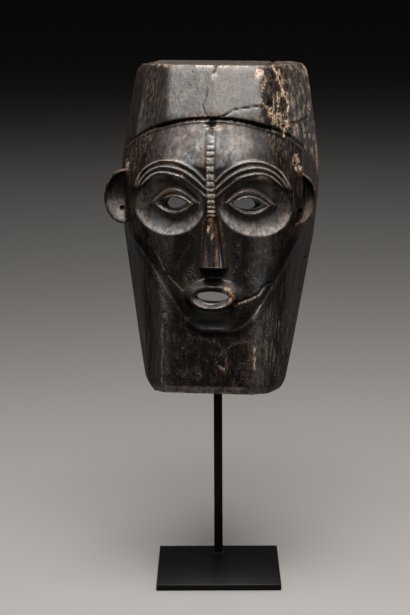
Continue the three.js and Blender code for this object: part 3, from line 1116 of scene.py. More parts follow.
@dataclass(frozen=True)
class Mouth:
    """The ring of the lips round an open slit, on a low mound.

    Attributes:
        z: Its middle.
        half: Half the ring's width.
        tall: Half its height.
        out: How far it stands out.
        mound: How far the mound does.
        hollow: How deep the ring's inside is.
        slit_half: Half the slit's width.
        slit_tall: Half its height in front.
        slit_z: Its middle.
        raised: How much higher it goes behind.
        depths: Where the slit's cutter starts, begins to open and ends.
    """

    z: float = 91.5
    half: float = 20
    tall: float = 10.4
    out: float = 9
    mound: float = 3
    hollow: float = 5
    slit_half: float = 16
    slit_tall: float = 4.3
    slit_z: float = 92.8
    raised: float = 7
    depths: Place = (-40, -12, 24)

    def ring(self, u: Array, z: Array) -> Array:
        """Return how far out of the mouth's middle a place lies, 1 being the crest of the lips."""
        return np.hypot(u / self.half, (z - self.z) / self.tall)

    def height(self, u: Array, z: Array) -> Array:
        """Measure how far the lips stand out.

        Args:
            u: Places right of the face's middle.
            z: Places up.

        Returns:
            The height.
        """
        ring = self.ring(u, z)
        inner = 1 - self.hollow / self.out * (1 - ease(0.5, 1, ring))
        above = ease(0.2, 0.9, (z - self.z) / self.tall / np.maximum(ring, 0.01))
        outer = 1 - ease(1, 1.35 + 0.45 * above, ring)
        return self.out * np.where(ring > 1, outer, inner) + self.mound * bell(ring / 2)

    def cutter(self, middle: float) -> Piece:
        """Make the cutter of the slit.

        Args:
            middle: The x of the slit's middle.

        Returns:
            The cutter.
        """
        angle = turn_round(SLIT_STEPS)
        x, up = middle + self.slit_half * np.cos(angle), np.sin(angle)
        tall = np.where(up > 0, self.slit_tall + self.raised, self.slit_tall)
        front, back = (np.column_stack([x, self.slit_z + half * up]) for half in (self.slit_tall, tall))
        return slot_through("mouth_cut", front, back, self.depths)


@dataclass(frozen=True)
class Scar:
    """The raised scar down the forehead, notched across.

    Attributes:
        half: Half its width.
        tall: How far it stands out.
        foot: Where it starts above the nose.
        head: Where it fades out under the groove.
        notches: The places of its notches.
    """

    half: float = 3.8
    tall: float = 2
    foot: Point = (167, 169)
    head: Point = (222, 246)
    notches: tuple[float, ...] = (236, 230, 224, 216, 208.5, 201, 195, 190, 184, 179, 175, 170.5)

    def height(self, side: Array, z: Array) -> Array:
        """Measure how far the scar stands out.

        Args:
            side: Places to either side of the face's middle.
            z: Places up.

        Returns:
            The height.
        """
        across = 1 - ease(self.half - 0.8, self.half + 0.6, side)
        along = ease(*self.foot, z) * (1 - ease(*self.head, z))
        cut = sum(bell(z - notch) for notch in self.notches)
        return self.tall * across * along * (1 - 0.9 * np.minimum(1, cut))


@dataclass(frozen=True)
class Ear:
    """A cupped ear with a small drilled hole.

    Attributes:
        x: Its middle, from the mask's.
        drift: How far both ears are moved across.
        z: Its middle up.
        out: How far it reaches outwards.
        into: How far it reaches into the head.
        tall: Half its height.
        root: How much further back it starts inside the head.
        bowl: From the back round the rim into the cup: the share of its reach and the depth.
        pit: The hole's radius.
        pit_at: The hole's middle, from the mask's.
        pit_length: How long the drill is.
    """

    x: float = 82.5
    drift: float = -3.5
    z: float = 187.5
    out: float = 20
    into: float = 5
    tall: float = 26.5
    root: float = 14
    bowl: tuple[Point, ...] = (
        (0, 50), (0.4, 46), (0.78, 32), (0.97, 19), (1, 15), (0.96, 13.6), (0.89, 14.6), (0.82, 19),
        (0.55, 24), (0, 26))
    pit: float = 2.4
    pit_at: Place = (86, 22, 177)
    pit_length: float = 12

    def solid(self, side: int) -> Piece:
        """Make an ear, a thin rim round a cupped bowl, rooted in the side of the head.

        Args:
            side: -1 for the left ear and 1 for the right.

        Returns:
            The ear.
        """
        profile = curve_through(self.bowl, fineness(44))
        angle = side * turn_round(fineness(96))
        reach = np.where(np.cos(angle) > 0, self.out, self.into)
        root = (1 - ease(-1, 0.2, np.cos(angle))) * self.root
        rings = []
        for i, (share, depth) in enumerate(profile):
            size = min(1.0, max(float(share), 0.02))
            buried = root * float(ease(0.2, 0.36, np.array(i / len(profile))))
            x = self.drift + side * (self.x + reach * size * np.cos(angle))
            z = self.z + self.tall * size * np.sin(angle)
            marks = 0.35 * Roughness(31, (5, 5, 6)).at(x, depth, z)
            rings.append(np.column_stack([x, depth + buried + marks, z]))
        return rings_mesh("ear", rings)

    def drill(self, side: int) -> Piece:
        """Return the cutter of an ear's hole."""
        x, y, z = self.pit_at
        return bore(self.pit, self.pit_length, Axis.INWARDS, (self.drift + side * x, y, z))


# The mask


class Skin:
    """Where each vertex of the carved mask lies, and how its wood looks there.

    Attributes:
        level: How far up the mask each lies, the top's slope taken off.
        u: How far right of the face's middle.
        side: How far from the middle, to either side.
        jaw: How far above the jaw's edge.
        arch: How far below the arched groove.
        socket: How deep in an eye's socket.
        brow: How high on the ridges of the brows, as a share of their height.
        bend: How sharply the surface bends, below 0 on edges.
        shell: 1 on the outside and 0 in the hollow.
        outer: 1 on the front, fading to 0 backwards.
        edge: 1 at the front and side edges of the top and the bottom, less further in.
        groove: 1 where the arched groove is whole, fading to 0 below its ends.
        crown: 1 above the arched groove.
        nose: 1 along the nose's ridge.
        rubbed: Streaks in which hands have polished the nose.
        lids: 1 on the crests of the eyelids.
        bowl: 1 in the lower half of an eye's socket.
        squares: 1 on the scar between its notches.
        cup: 1 in an ear's bowl.
        ears: 1 on an ear.
        ends: 1 at the edges of the top and the bottom.
    """

    def __init__(self, mask: "Mask", body: Piece) -> None:
        """Find where the vertices lie.

        Args:
            mask: The mask's sizes.
            body: The carved mesh, in the mask's frame.
        """
        self.mask, self.bend = mask, bends(body.data)
        x, y, z = self.x, self.y, self.z = read_rows(body.data.vertices, "co", 3).T
        self.level = level = z - mask.top_rise * y / mask.top_depth * mask.tilt(z)
        self.u = x - mask.midline(level)
        self.side = side = np.abs(self.u)
        self.jaw, self.arch = mask.jaw.gap(self.u, level), mask.arch.gap(x, level)
        self.socket = mask.socket.depth(side, level)
        self.brow = mask.brow.height(side, level) / mask.brow.tall
        self.shell = 1 - mask.in_hollow(x, y, level)
        behind = y - through(mask.front, level) - 0.6 * np.maximum(0, side - 40)
        self.outer = self.shell * (1 - ease(10, 26, behind))
        self.edge = mask.near_edge(x, y, level)
        self.groove = ease(*mask.arch.fades, level) * self.shell
        self.crown = ease(-2, 2, -self.arch) * self.groove
        self.nose = ease(118, 121, level) * (1 - ease(176, 182, level)) * bell((side - 2) / 4.5) * self.outer
        self.rubbed = ease(-0.1, 0.5, self.rough(41, (1.8, 8, 11)))
        inwards = mask.eye.inwards(side, level)
        upper, lower = bell(inwards / 0.14) + bell((inwards - 0.42) / 0.1), bell((inwards - 0.3) / 0.1)
        self.lids = np.where(level > mask.eye.z, upper, lower) * self.outer * (side < 60)
        self.bowl = ease(0.1, 1.4, self.socket) * ease(181, 168, level) * self.outer
        self.squares = mask.scar.height(side, level) / mask.scar.tall * ease(238, 230, level) * self.outer
        self.cup = ease(83, 87, np.abs(x)) * ease(13, 17, y) * ease(29, 27, y) * ease(160, 163, level)
        self.ears = ease(79, 82, np.abs(x)) * ease(158, 163, level) * ease(218, 213, level) * (y < 34)
        self.ends = np.minimum(1, bell(level / 3) + bell((mask.height - level) / 2)) * self.edge

    def rough(self, seed: int, size: Place) -> Array:
        """Return random heights at the vertices."""
        return Roughness(seed, size).at(self.x, self.y, self.z)

    def crest(self) -> Array:
        """Return 1 on the crest of the jaw's edge."""
        return bell((self.jaw - 0.9) / 0.9)

    def worn(self) -> Array:
        """Work out where the wood is worn brown.

        Returns:
            How worn each vertex is, from 0 to 1.
        """
        worn = most(0.7 * ease(0.04, 0.22, -self.bend), 0.9 * self.nose * self.rubbed)
        worn = worn * (1 - 0.92 * self.ears * ease(210, 200, self.level))
        frayed = self.ends * ease(-0.2, 0.5, self.rough(42, (5, 5, 5)))
        return most(worn, 0.7 * self.ears * ease(207, 211, self.level), 0.8 * frayed)

    def grime_and_shade(self) -> Array:
        """Work out where the wood is darkened: in its hollows, and by painted shade in the grooves, under the
        brows and about the jaw's edge.

        Returns:
            How dark with it each vertex is, from 0 to 1.
        """
        level, side, outer, jaw = self.level, self.side, self.outer, self.jaw
        rail = bell((side - self.mask.scar.half - 0.8) / 0.8) * ease(166, 172, level) * ease(256, 248, level)
        grime_and_shade = most(
            0.95 * ease(0.03, 0.2, self.bend),  # darker wherever the surface is hollow
            self.nose * (1 - 0.65 * self.rubbed),  # between the nose's polished streaks
            0.5 * self.cup * ease(188, 200, level),  # painted shade in the upper half of the ears' bowls
            0.8 * ease(0.02, 0.15, self.brow) * ease(0.5, 0.3, self.brow) * outer,  # painted shade between the brows' folds
            0.7 * ease(1, 5, self.socket) * ease(195, 204, level) * outer,  # painted shade under the brows
            0.75 * rail * outer,  # along the scar
        )
        cleft = bell((self.arch + 0.8) / (2 + 0.8 * ease(10, 40, self.x))) * self.groove
        shade = bell((jaw - 5) / 9) * (1 - 0.8 * self.crest()) * ease(18, 30, side) * ease(165, 145, level)
        return most(
            grime_and_shade * (1 - self.squares),
            0.9 * cleft * (self.y < 40),  # painted shadow along the arched groove
            0.75 * bell((jaw + 3.2) / 2.4) * (side < 80) * outer,  # painted shadow under the jaw's edge
            0.45 * bell((level - 66) / 6) * bell(self.u / 30) * outer,  # painted shade on the chin
            0.95 * shade * (side < 80) * outer,  # painted shade above the jaw's edge
        )

    def bare(self) -> Array:
        """Work out where bare wood shows, and where a thin highlight is painted along the jaw's edge.

        Returns:
            How bare each vertex is, from 0 to 1.
        """
        level, side, outer = self.level, self.side, self.outer
        crease = bell((side - mix(6.5, 12.6, np.clip((176 - level) / 56, 0, 1))) / 0.8)
        flaked = ease(0, 0.5, self.rough(43, (4, 4, 7))) * self.crown * ease(38, 56, self.u) * self.edge
        chipped = self.ends * ease(0, 0.5, self.rough(44, (4, 4, 4)))
        pale = ease(0.1, 0.6, self.rough(45, (1.5, 1.5, 20))) * ease(44, 50, self.x) * ease(98, 78, level)
        return most(
            0.32 * crease * ease(119, 123, level) * ease(170, 158, level) * outer,  # beside the nose
            0.22 * self.lids,  # the eyelids
            0.3 * ease(0.75, 0.95, self.brow) * outer,  # the brows
            0.6 * self.squares,  # the scar
            0.06 * self.crest() * (side < 80) * outer * ease(160, 145, level),  # a thin painted highlight along the jaw's edge
            0.5 * flaked,  # the right side of the crown
            (0.1 + 0.6 * outer) * chipped,  # the edges of the top and the bottom
            0.32 * pale,  # the right chamfer
        )

    def coarse(self) -> Array:
        """Work out where the surface is coarse and dull.

        Returns:
            How coarse each vertex is, from 0 to 1.
        """
        side, u, crown = self.side, self.u, self.crown
        cheeks = ease(170, 146, self.level) * ease(10, 22, side)
        coarse = most(ease(3, -3, self.jaw), ease(52, 64, side), 0.9 * cheeks, 1 - self.outer)
        coarse = np.where(crown > 0.5, ease(34, 56, u) + 0.6 * ease(40, 60, -u), coarse)
        coarse = most(coarse, self.nose, 0.52 * crown, 0.6 * ease(0.05, 0.4, self.brow) * self.outer)
        return most(coarse * (1 - 0.4 * ease(62, 74, side)), self.squares, 0.5 * self.lids)

    def film_and_painted_light(self) -> Array:
        """Work out where the pale film of handling shows, and where light is painted on places that face the
        lamps.

        Returns:
            How strongly it shows at each vertex, from 0 to 1.
        """
        level, side, u, outer, gap = self.level, self.side, self.u, self.outer, self.arch
        mouth, socket, height = self.mask.mouth, self.socket, self.mask.height
        forehead = mix(0.42, 0.7, ease(12, 34, gap)) * ease(-2, 6, gap) * ease(64, 44, gap)
        forehead = forehead * (1 - ease(0, 2, socket)) * (1 + 0.25 * ease(4, 12, -u)) * (1 - self.crown)
        forehead = forehead * (1 - 0.3 * ease(26, 42, -u)) * ease(66, 24, side)
        ring, up = mouth.ring(u, level), level - mouth.z
        return most(
            forehead * outer,  # painted light on the forehead
            mix(0.95, 0.42, ease(1.5, 8, socket)) * self.bowl,  # painted highlight in the lower half of the sockets, which face up
            0.28 * ease(0.5, 3, socket) * ease(205, 193, level) * outer,  # painted light in their upper half
            0.36 * self.cup * ease(194, 178, level),  # painted highlight in the lower part of the ears' bowls
            0.24 * bell((ring - 1.3) / 0.3) * ease(0, 8, up) * outer,  # a painted glow of light above the mouth
            0.5 * bell((ring - 0.75) / 0.2) * ease(2, -3, up) * outer,  # painted light on the lower lip
            0.95 * self.squares,  # the scar
            0.65 * ease(0.5, 0.8, self.brow) * outer,  # painted highlight on the crests of the brows
            0.18 * self.crown * ease(50, 40, side) * outer,  # painted sheen on the crown's front
            0.65 * ease(8, 5, level) * outer,  # painted light on the lower edge
            0.4 * ease(height - 1.6, height - 0.6, level) * self.edge,  # painted light on the upper edge
        )

    def grain(self) -> Array:
        """Return how strongly the wood's grain shows."""
        open_grain = most(ease(48, 60, self.side), 0.35 * ease(3, -3, self.jaw))
        return open_grain * (0.4 + 0.6 * self.shell) * (1 - self.bowl)

    def wear(self) -> dict[str, Array]:
        """Work out every kind of wear and of painted light and shade, with the marks laid over it.

        Returns:
            The strength of each kind at each vertex, by the name that the material reads.
        """
        wear = {
            "worn": self.worn(), "grime_and_shade": self.grime_and_shade(), "bare": self.bare(),
            "coarse": self.coarse(), "film_and_painted_light": self.film_and_painted_light(), "grain": self.grain(),
        }
        for mark in MARKS:
            near = mark.near(self.x, self.level) * self.outer
            if isinstance(mark, Spot):
                near = near * ease(36, 28, self.y)
            for kind, strength in (("worn", mark.worn), ("grime_and_shade", mark.dark), ("bare", mark.bare)):
                wear[kind] = np.maximum(wear[kind], strength * near)
            wear["grime_and_shade"] = wear["grime_and_shade"] * (1 - 0.85 * near * (mark.bare > 0))
        return wear


@dataclass(frozen=True)
class Mask:
    """The carved face mask, one block of wood hollowed behind.

    Its block is drawn by lines up the mask, as knots of a place up and a level. The way round it, from
    -girth to girth, passes the rim, the corner and the arris at each side.

    Attributes:
        place: Where its lower middle stands in the model.
        turns: How far it is turned, leant back and rolled, in degrees.
        height: Its height along the front.
        top_rise: How much higher the top's back edge is.
        top_depth: The depth at which the top has that rise.
        tilt_from: Where up the mask its levels begin to slope so.
        girth: The way round the block from its middle to its rim.
        facet_at: The way round to the arris between front and chamfer.
        corner_at: The way round to the corner between chamfer and side.
        wall: How thick the wood is.
        crisp_low: How far either side of an arris it is eased, below the face.
        soft: The same on the face.
        crisp_top: The same on the crown.
        front: The depth of the front's middle.
        arris_x: Half the width at the arris.
        arris_y: The arris's depth.
        corner_x: Half the width at the corner.
        corner_y: The corner's depth.
        rim_x: Half the width at the rim.
        rim_y: The rim's depth.
        middle: How far across the face's middle wanders.
        face_depth: The depth of the face's middle.
        face_round: How far it falls back at face_scale from the middle.
        face_scale: Where face_round is measured.
        face_power: How sharply the face falls back.
        face_fade: Where it gives way to the block's sides.
        chin: The chin's place up, how far it falls back, half its height and half its width.
        hollow_front: How far the hollow stops behind the block's front.
        hollow_nose: How much further behind the nose.
        hollow_bend: The radius of the hollow's corners, above and below.
        hollow_power: How square the hollow is across, 1 being round.
        hollow_open: How far its cutter reaches past the rim.
        lacing: Places up of the lacing holes.
        lacing_radius: Their radius.
        lacing_inset: How far in from the rim they lie.
        cap_rows: Rows of faces across the top and the bottom.
    """

    place: Place = (-9.6, -43.6, 190.2)
    turns: Place = (-5, -10, 0.6)
    height: float = 312
    top_rise: float = 15
    top_depth: float = 80
    tilt_from: float = 190
    girth: float = 150
    facet_at: float = 46
    corner_at: float = 96
    wall: float = 13
    crisp_low: float = 1.5
    soft: float = 16
    crisp_top: float = 4.5
    front: Knots = ((0, 3.5), (6, 0), (60, 0), (120, 0), (200, -10), (262, -13.5), (306, 0), (312, 2.5))
    arris_x: Knots = ((0, 42), (6, 44), (60, 45), (150, 52), (215, 52), (262, 46), (312, 44.5))
    arris_y: Knots = (
        (0, 3.5), (6, 0), (60, 0), (120, 0), (150, -3), (215, -7), (262, -9), (306, 4), (312, 6))
    corner_x: Knots = ((0, 56), (7, 61), (40, 63.5), (127, 74), (165, 82), (215, 83), (262, 75), (312, 68))
    corner_y: Knots = ((0, 38), (127, 36), (165, 20), (215, 18), (262, 20), (312, 24))
    rim_x: Knots = (
        (0, 58), (4, 65), (12, 69.5), (45, 75.5), (158, 94.2), (205, 98.6), (228, 97.6), (268, 91),
        (305, 84.5), (312, 80))
    rim_y: Knots = ((0, 76), (312, 81))
    middle: Knots = ((60, 2.1), (92, 2.4), (120, 3.4), (170, 0.4), (200, -0.9), (235, -1.2))
    face_depth: Knots = (
        (55, -5), (75, -4), (110, -3.5), (150, -5), (175, -9), (200, -15), (226, -18.5), (262, -11))
    face_round: Knots = ((60, 18), (113, 24), (140, 20), (175, 12), (225, 14), (262, 15))
    face_scale: float = 60
    face_power: float = 2.2
    face_fade: Point = (84, 92)
    chin: tuple[float, float, float, float] = (68, 1.3, 8, 26)
    hollow_front: float = 16
    hollow_nose: float = 6
    hollow_bend: float = 13
    hollow_power: float = 0.72
    hollow_open: float = 4
    lacing: tuple[float, ...] = (34, 66, 100, 133)
    lacing_radius: float = 2.4
    lacing_inset: float = 7.3
    cap_rows: int = 16
    jaw: Jaw = Jaw()
    arch: Arch = Arch()
    socket: EyeSocket = EyeSocket()
    eye: Eye = Eye()
    slit: Slit = Slit()
    brow: Brow = Brow()
    nose: Nose = Nose()
    mouth: Mouth = Mouth()
    scar: Scar = Scar()
    ear: Ear = Ear()

    def frame_matrix(self) -> Matrix:
        """Set the mask in its place.

        Returns:
            The matrix from the mask's own frame, in millimetres, to the model's, in metres.
        """
        yaw, lean, roll = (math.radians(turn) for turn in self.turns)
        turned = Matrix.Rotation(yaw, 4, "Z") @ Matrix.Rotation(lean, 4, "X") @ Matrix.Rotation(roll, 4, "Y")
        return Matrix.Scale(MM, 4) @ Matrix.Translation(self.place) @ turned

    def midline(self, z: Array) -> Array:
        """Return the x of the face's middle, which wanders a little as the carver left it."""
        return through(self.middle, z, reach=12)

    def tilt(self, z: Array) -> Array:
        """Return the share of the top's slope that a level has."""
        return ease(self.tilt_from, self.height, z)

    def block(self, a: Array, z: Array) -> tuple[Array, Array]:
        """Find places on the plain block.

        Args:
            a: The way round it, from -girth to girth.
            z: The way up.

        Returns:
            Their x and y.
        """
        low = mix(self.crisp_low, self.soft, ease(70, 150, z))
        reach = mix(low, self.crisp_top, ease(232, 262, z))
        arris, corner, rim = (through(knots, z) for knots in (self.arris_x, self.corner_x, self.rim_x))
        across = ((-self.girth, -rim), (-self.corner_at, -corner), (-self.facet_at, -arris),
                  (self.facet_at, arris), (self.corner_at, corner), (self.girth, rim))
        back = ((0, through(self.front, z)), (self.facet_at, through(self.arris_y, z)),
                (self.corner_at, through(self.corner_y, z)), (self.girth, through(self.rim_y, z)))
        return through(across, a, reach), through(back, np.abs(a), reach)

    def face(self, x: Array, z: Array) -> Array:
        """Measure the depth of the face: its rounded mass, with every feature cut in or left standing.

        Args:
            x: Places across.
            z: Places up.

        Returns:
            The depth.
        """
        u = x - self.midline(z)
        side = np.abs(u)
        chin_z, chin_depth, chin_tall, chin_wide = self.chin
        y = through(self.face_depth, z, reach=12)
        y = y + through(self.face_round, z, reach=15) * (side / self.face_scale) ** self.face_power
        y = y + chin_depth * bell((z - chin_z) / chin_tall) * bell(u / chin_wide)
        y = y - self.arch.lip * bell((self.arch.gap(x, z) - self.arch.inward) / self.arch.lip_wide)
        y = y + self.socket.depth(side, z) - self.eye.height(side, z) - self.brow.height(side, z)
        y = np.minimum(y - self.mouth.height(u, z), self.nose.depth(side, z))
        return y - self.scar.height(side, z)

    def surface(self, a: Array, z: Array) -> Array:
        """Find points of the carved outer surface.

        Args:
            a: The way round the block.
            z: The way up.

        Returns:
            The points, in the mask's frame.
        """
        x, y = self.block(a, z)
        arch = self.arch.gap(x, z)
        jaw = self.jaw.gap(x - self.midline(z), z)
        melt = mix(self.jaw.melt_chin, self.jaw.melt, ease(12, 34, np.abs(x)))
        near = 1 - ease(*self.face_fade, np.abs(x))
        inside = ease(-melt, melt, jaw) * ease(-0.7, 0.7, arch) * near
        ridge = self.jaw.edge * bell((jaw - self.jaw.inward) / self.jaw.width) * near * ease(170, 150, z)
        groove = self.arch.groove * bell(arch / self.arch.wide) * ease(*self.arch.fades, z)
        rise = self.top_rise * y / through(self.rim_y, z) * self.tilt(z)
        return np.stack([x, mix(y, self.face(x, z), inside) + groove - ridge, z + rise], axis=-1)

    def relief(self, points: Array, z: Array) -> Array:
        """Measure how deep the wood is worn, cracked, pitted and marked by the knife.

        Args:
            points: Points of the outer surface.
            z: The way up of each.

        Returns:
            The depth at each point.
        """
        x, y = points[..., 0], points[..., 1]

        def rough(seed: int, size: Place) -> Array:
            """Return random heights at the points."""
            return Roughness(seed, size).at(x, y, z)

        arch, jaw = self.arch.gap(x, z), self.jaw.gap(x - self.midline(z), z)
        # The knife's shallow facets.
        depth = 0.12 + 0.16 * (rough(3, (13, 13, 17)) + 0.5 * rough(4, (6, 6, 8)))
        # Streaks along the grain, deepest on the block's plain sides.
        plain = np.maximum(1 - ease(-3, 3, jaw) * ease(-3, 3, arch), ease(80, 92, np.abs(x)))
        streaks = rough(5, (2.4, 2.4, 34)) + 0.6 * rough(6, (1.3, 1.3, 14))
        walls = plain * np.maximum(ease(40, 56, np.abs(x)), 0.35 - 0.27 * ease(200, 230, z))
        depth = depth + (0.02 + 0.22 * walls) * streaks
        # Pits on the crown's two sides.
        patch = ease(44, 56, x) * ease(236, 250, z) + 0.35 * ease(50, 66, -x) * ease(250, 268, z)
        pits = rough(7, (2.6, 2.6, 3.4))
        depth = depth + patch * (0.9 * ease(0.1, 0.8, pits) + 0.3 * rough(8, (5, 5, 9)))
        # The groove's broken edge.
        broken = bell((arch + 0.4) / 2.4) * ease(0.1, 0.8, rough(14, (2.6, 2.6, 2.2)))
        depth = depth + 0.9 * broken * ease(195, 215, z)
        for mark in MARKS:
            depth = depth + mark.depth * mark.near(x, z)
        # The worn top and bottom edges.
        ends = bell(z / 3) + bell((self.height - z) / 3)
        return depth + 0.6 * ends * (0.5 + 0.5 * rough(9, (7, 7, 7)))

    def skin_points(self, a: Array, z: Array) -> Array:
        """Find points of the outer surface with its wear.

        Args:
            a: The way round the block, as a grid.
            z: The way up.

        Returns:
            The points, in the mask's frame.
        """
        points = self.surface(a, z)
        normal = np.cross(np.gradient(points, axis=0), np.gradient(points, axis=1))
        normal /= np.linalg.norm(normal, axis=-1, keepdims=True)
        inner = ease(0, 12, self.girth - np.abs(a))[..., None]
        points = points + normal * (self.relief(points, z)[..., None] * inner)
        highest = self.height + self.top_rise * points[..., 1] / self.rim_y[-1][1]
        points[..., 2] = np.minimum(points[..., 2], highest)
        points[..., 2] -= self.top_drop(points[..., 0]) * ease(296, self.height, z)
        return points

    def lid_rows(self, rim: Array, level: float) -> list[Array]:
        """Lay the rows of points across the bottom or the top, from the front edge backwards.

        Args:
            rim: The points of the front edge.
            level: 0 for the bottom, or the height for the top.

        Returns:
            The rows behind the edge, the last one straight.
        """
        x, front_y, front_z = rim.T
        top = level > 0
        back_y = float(through(self.rim_y, np.array(level)))
        drop = self.top_drop(x) * top
        off = front_z - self.top_rise * front_y / back_y * top - level + drop
        rows = []
        for step in range(1, self.cap_rows + 1):
            y = mix(front_y, back_y, step / self.cap_rows)
            plane = level + self.top_rise * y / back_y * top
            dent = 0.7 * np.abs(Roughness(13, (6, 6, 1)).at(x, y, 0)) * (step < self.cap_rows)
            z = plane + (mix(off, 0, min(1, step / 2)) - drop) + (-dent if top else dent)
            rows.append(np.column_stack([x, y, z]))
        return rows

    def block_solid(self) -> Piece:
        """Make the block with its carving, closed behind and at both ends.

        Returns:
            The solid, in the mask's frame.
        """
        stations = graded(((-self.girth, 2.3), (-94, 1.15), (-80, 0.95), (80, 1.15), (94, 2.3)), self.girth)
        levels = graded(((0, 1.2), (6, 1.9), (56, 0.95), (266, 1.6), (304, 1)), self.height)
        a, z = np.meshgrid(stations, levels)
        points = self.skin_points(a, z)
        number = np.arange(a.size).reshape(a.shape)
        corners, faces, backs = [points.reshape(-1, 3)], grid_faces(number), []
        for row, level in ((0, 0.0), (-1, self.height)):
            lid = self.lid_rows(points[row], level)
            start = sum(len(part) for part in corners)
            lid_number = start + np.arange(len(lid) * len(stations)).reshape(len(lid), -1)
            faces += grid_faces(np.vstack([number[row], lid_number]))
            backs.append(lid_number[-1].tolist())
            corners += lid
        left, right = number[:, 0].tolist(), number[:, -1].tolist()
        faces.append(backs[0] + [right[1], left[1]])
        faces.append(backs[1] + [right[-2], left[-2]])
        for i in range(2, len(levels) - 1):
            faces.append([left[i - 1], right[i - 1], right[i], left[i]])
        return welded("mask_carved", np.vstack(corners), faces)

    @staticmethod
    def top_drop(x: Array) -> Array:
        """Return how far the top is worn down at its two ends and at the split beside the right arris."""
        return 4 * ease(58, 80, -x) + 2 * ease(68, 82, x) + 1.2 * bell((x - 50) / 2.2)

    def hollow_sizes(self, level: Array) -> tuple[Array, Array, Array]:
        """Measure the hollow at a level.

        Args:
            level: The way up.

        Returns:
            Half its width, the depth it opens at and the depth of its front.
        """
        half = through(self.rim_x, level) - self.wall
        front = through(self.front, level, reach=20) + self.hollow_front
        opening = through(self.rim_y, level) + self.hollow_open
        return half, opening, front + self.hollow_nose * bell((level - 180) / 30)

    def hollow(self) -> Piece:
        """Make the space behind the face, its walls scooped by the adze.

        Returns:
            The cutter.
        """
        low, high, bend = self.wall, self.height - self.wall, self.hollow_bend
        inner = np.linspace(low + bend, high - bend, fineness(92))
        ends = bend * (1 - np.cos(np.linspace(0, math.pi / 2, 9)[:-1]))
        angle = np.linspace(-math.pi / 2, math.pi / 2, fineness(97))
        across = powered(np.sin(angle), self.hollow_power)
        deep = np.maximum(np.cos(angle), 0) ** self.hollow_power
        rings = []
        for z in np.concatenate([low + ends, inner, (high - ends)[::-1]]):
            end = min(z - low, high - z, bend)
            inset = bend - math.sqrt(max(0.0, bend * bend - (bend - end) ** 2))
            half, opening, front = (float(size) for size in self.hollow_sizes(np.array(z)))
            y = opening - (opening - front - inset) * deep
            x = (half - inset) * across
            scoop = Roughness(21, (15, 15, 21)).at(x, y, z) + 0.4 * Roughness(22, (6, 6, 9)).at(x, y, z)
            y = y + 0.9 * scoop * deep
            x = x - 0.7 * scoop * across * (deep < 0.98)
            rise = self.top_rise * y / opening * float(self.tilt(np.array(z)))
            rings.append(np.column_stack([x, y, z + rise]))
        return rings_mesh("hollow", rings)

    def in_hollow(self, x: Array, y: Array, level: Array) -> Array:
        """Tell the hollow's walls from the outside.

        Args:
            x: Places across.
            y: Places backwards.
            level: The way up.

        Returns:
            1 on the walls of the hollow and 0 on the outside.
        """
        half, opening, front = self.hollow_sizes(level)
        power = 2 / self.hollow_power
        size = np.abs(x / half) ** power + np.maximum(0, (opening - y) / (opening - front)) ** power
        above, below = (ease(self.wall - 4, self.wall - 1, room) for room in (level, self.height - level))
        return ease(1.22, 1.1, size) * (above * below)

    def near_edge(self, x: Array, y: Array, level: Array) -> Array:
        """Tell how near places of the top and bottom lie to their front and side edges.

        Args:
            x: Places across.
            y: Places backwards.
            level: The way up.

        Returns:
            1 at the edges, less further in.
        """
        around = np.linspace(-self.girth, self.girth, 200)
        lines = [self.block(around, end + 0 * around) for end in (0.0, self.height)]
        low, high = (np.interp(x, *line) for line in lines)
        return 1 - 0.85 * ease(1, 8, y - np.where(level > self.height / 2, high, low))

    def lacing_drill(self, side: int, z: float) -> Piece:
        """Make the cutter of a lacing hole.

        Args:
            side: -1 for the left wall and 1 for the right.
            z: The hole's place up.

        Returns:
            The cutter.
        """
        x, y = (float(through(knots, np.array(z))) for knots in (self.rim_x, self.rim_y))
        middle = (side * (x - self.wall / 2), y - self.lacing_inset, z)
        return bore(self.lacing_radius, 3 * self.wall, Axis.ACROSS, middle)

    def build(self, wood: bpy.types.Material) -> Piece:
        """Make the finished mask.

        Args:
            wood: Its material.

        Returns:
            The mask, dressed and in place.
        """
        body = self.block_solid()
        for side in (-1, 1):
            combine(body, self.ear.solid(side), Join.ADD)
        combine(body, self.hollow(), Join.CUT)
        for side in (-1, 1):
            combine(body, self.slit.cutter(side), Join.CUT)
            combine(body, self.ear.drill(side), Join.CUT)
            for z in self.lacing:
                combine(body, self.lacing_drill(side, z), Join.CUT)
        combine(body, self.mouth.cutter(float(self.midline(np.array(self.mouth.z)))), Join.CUT)
        for kind, strength in Skin(self, body).wear().items():
            set_attribute(body, kind, np.clip(strength, 0, 1))
        body.data.transform(self.frame_matrix())
        body.data.materials.clear()
        body.data.materials.append(wood)
        shade_smooth(body, 42)
        return body


# The stand


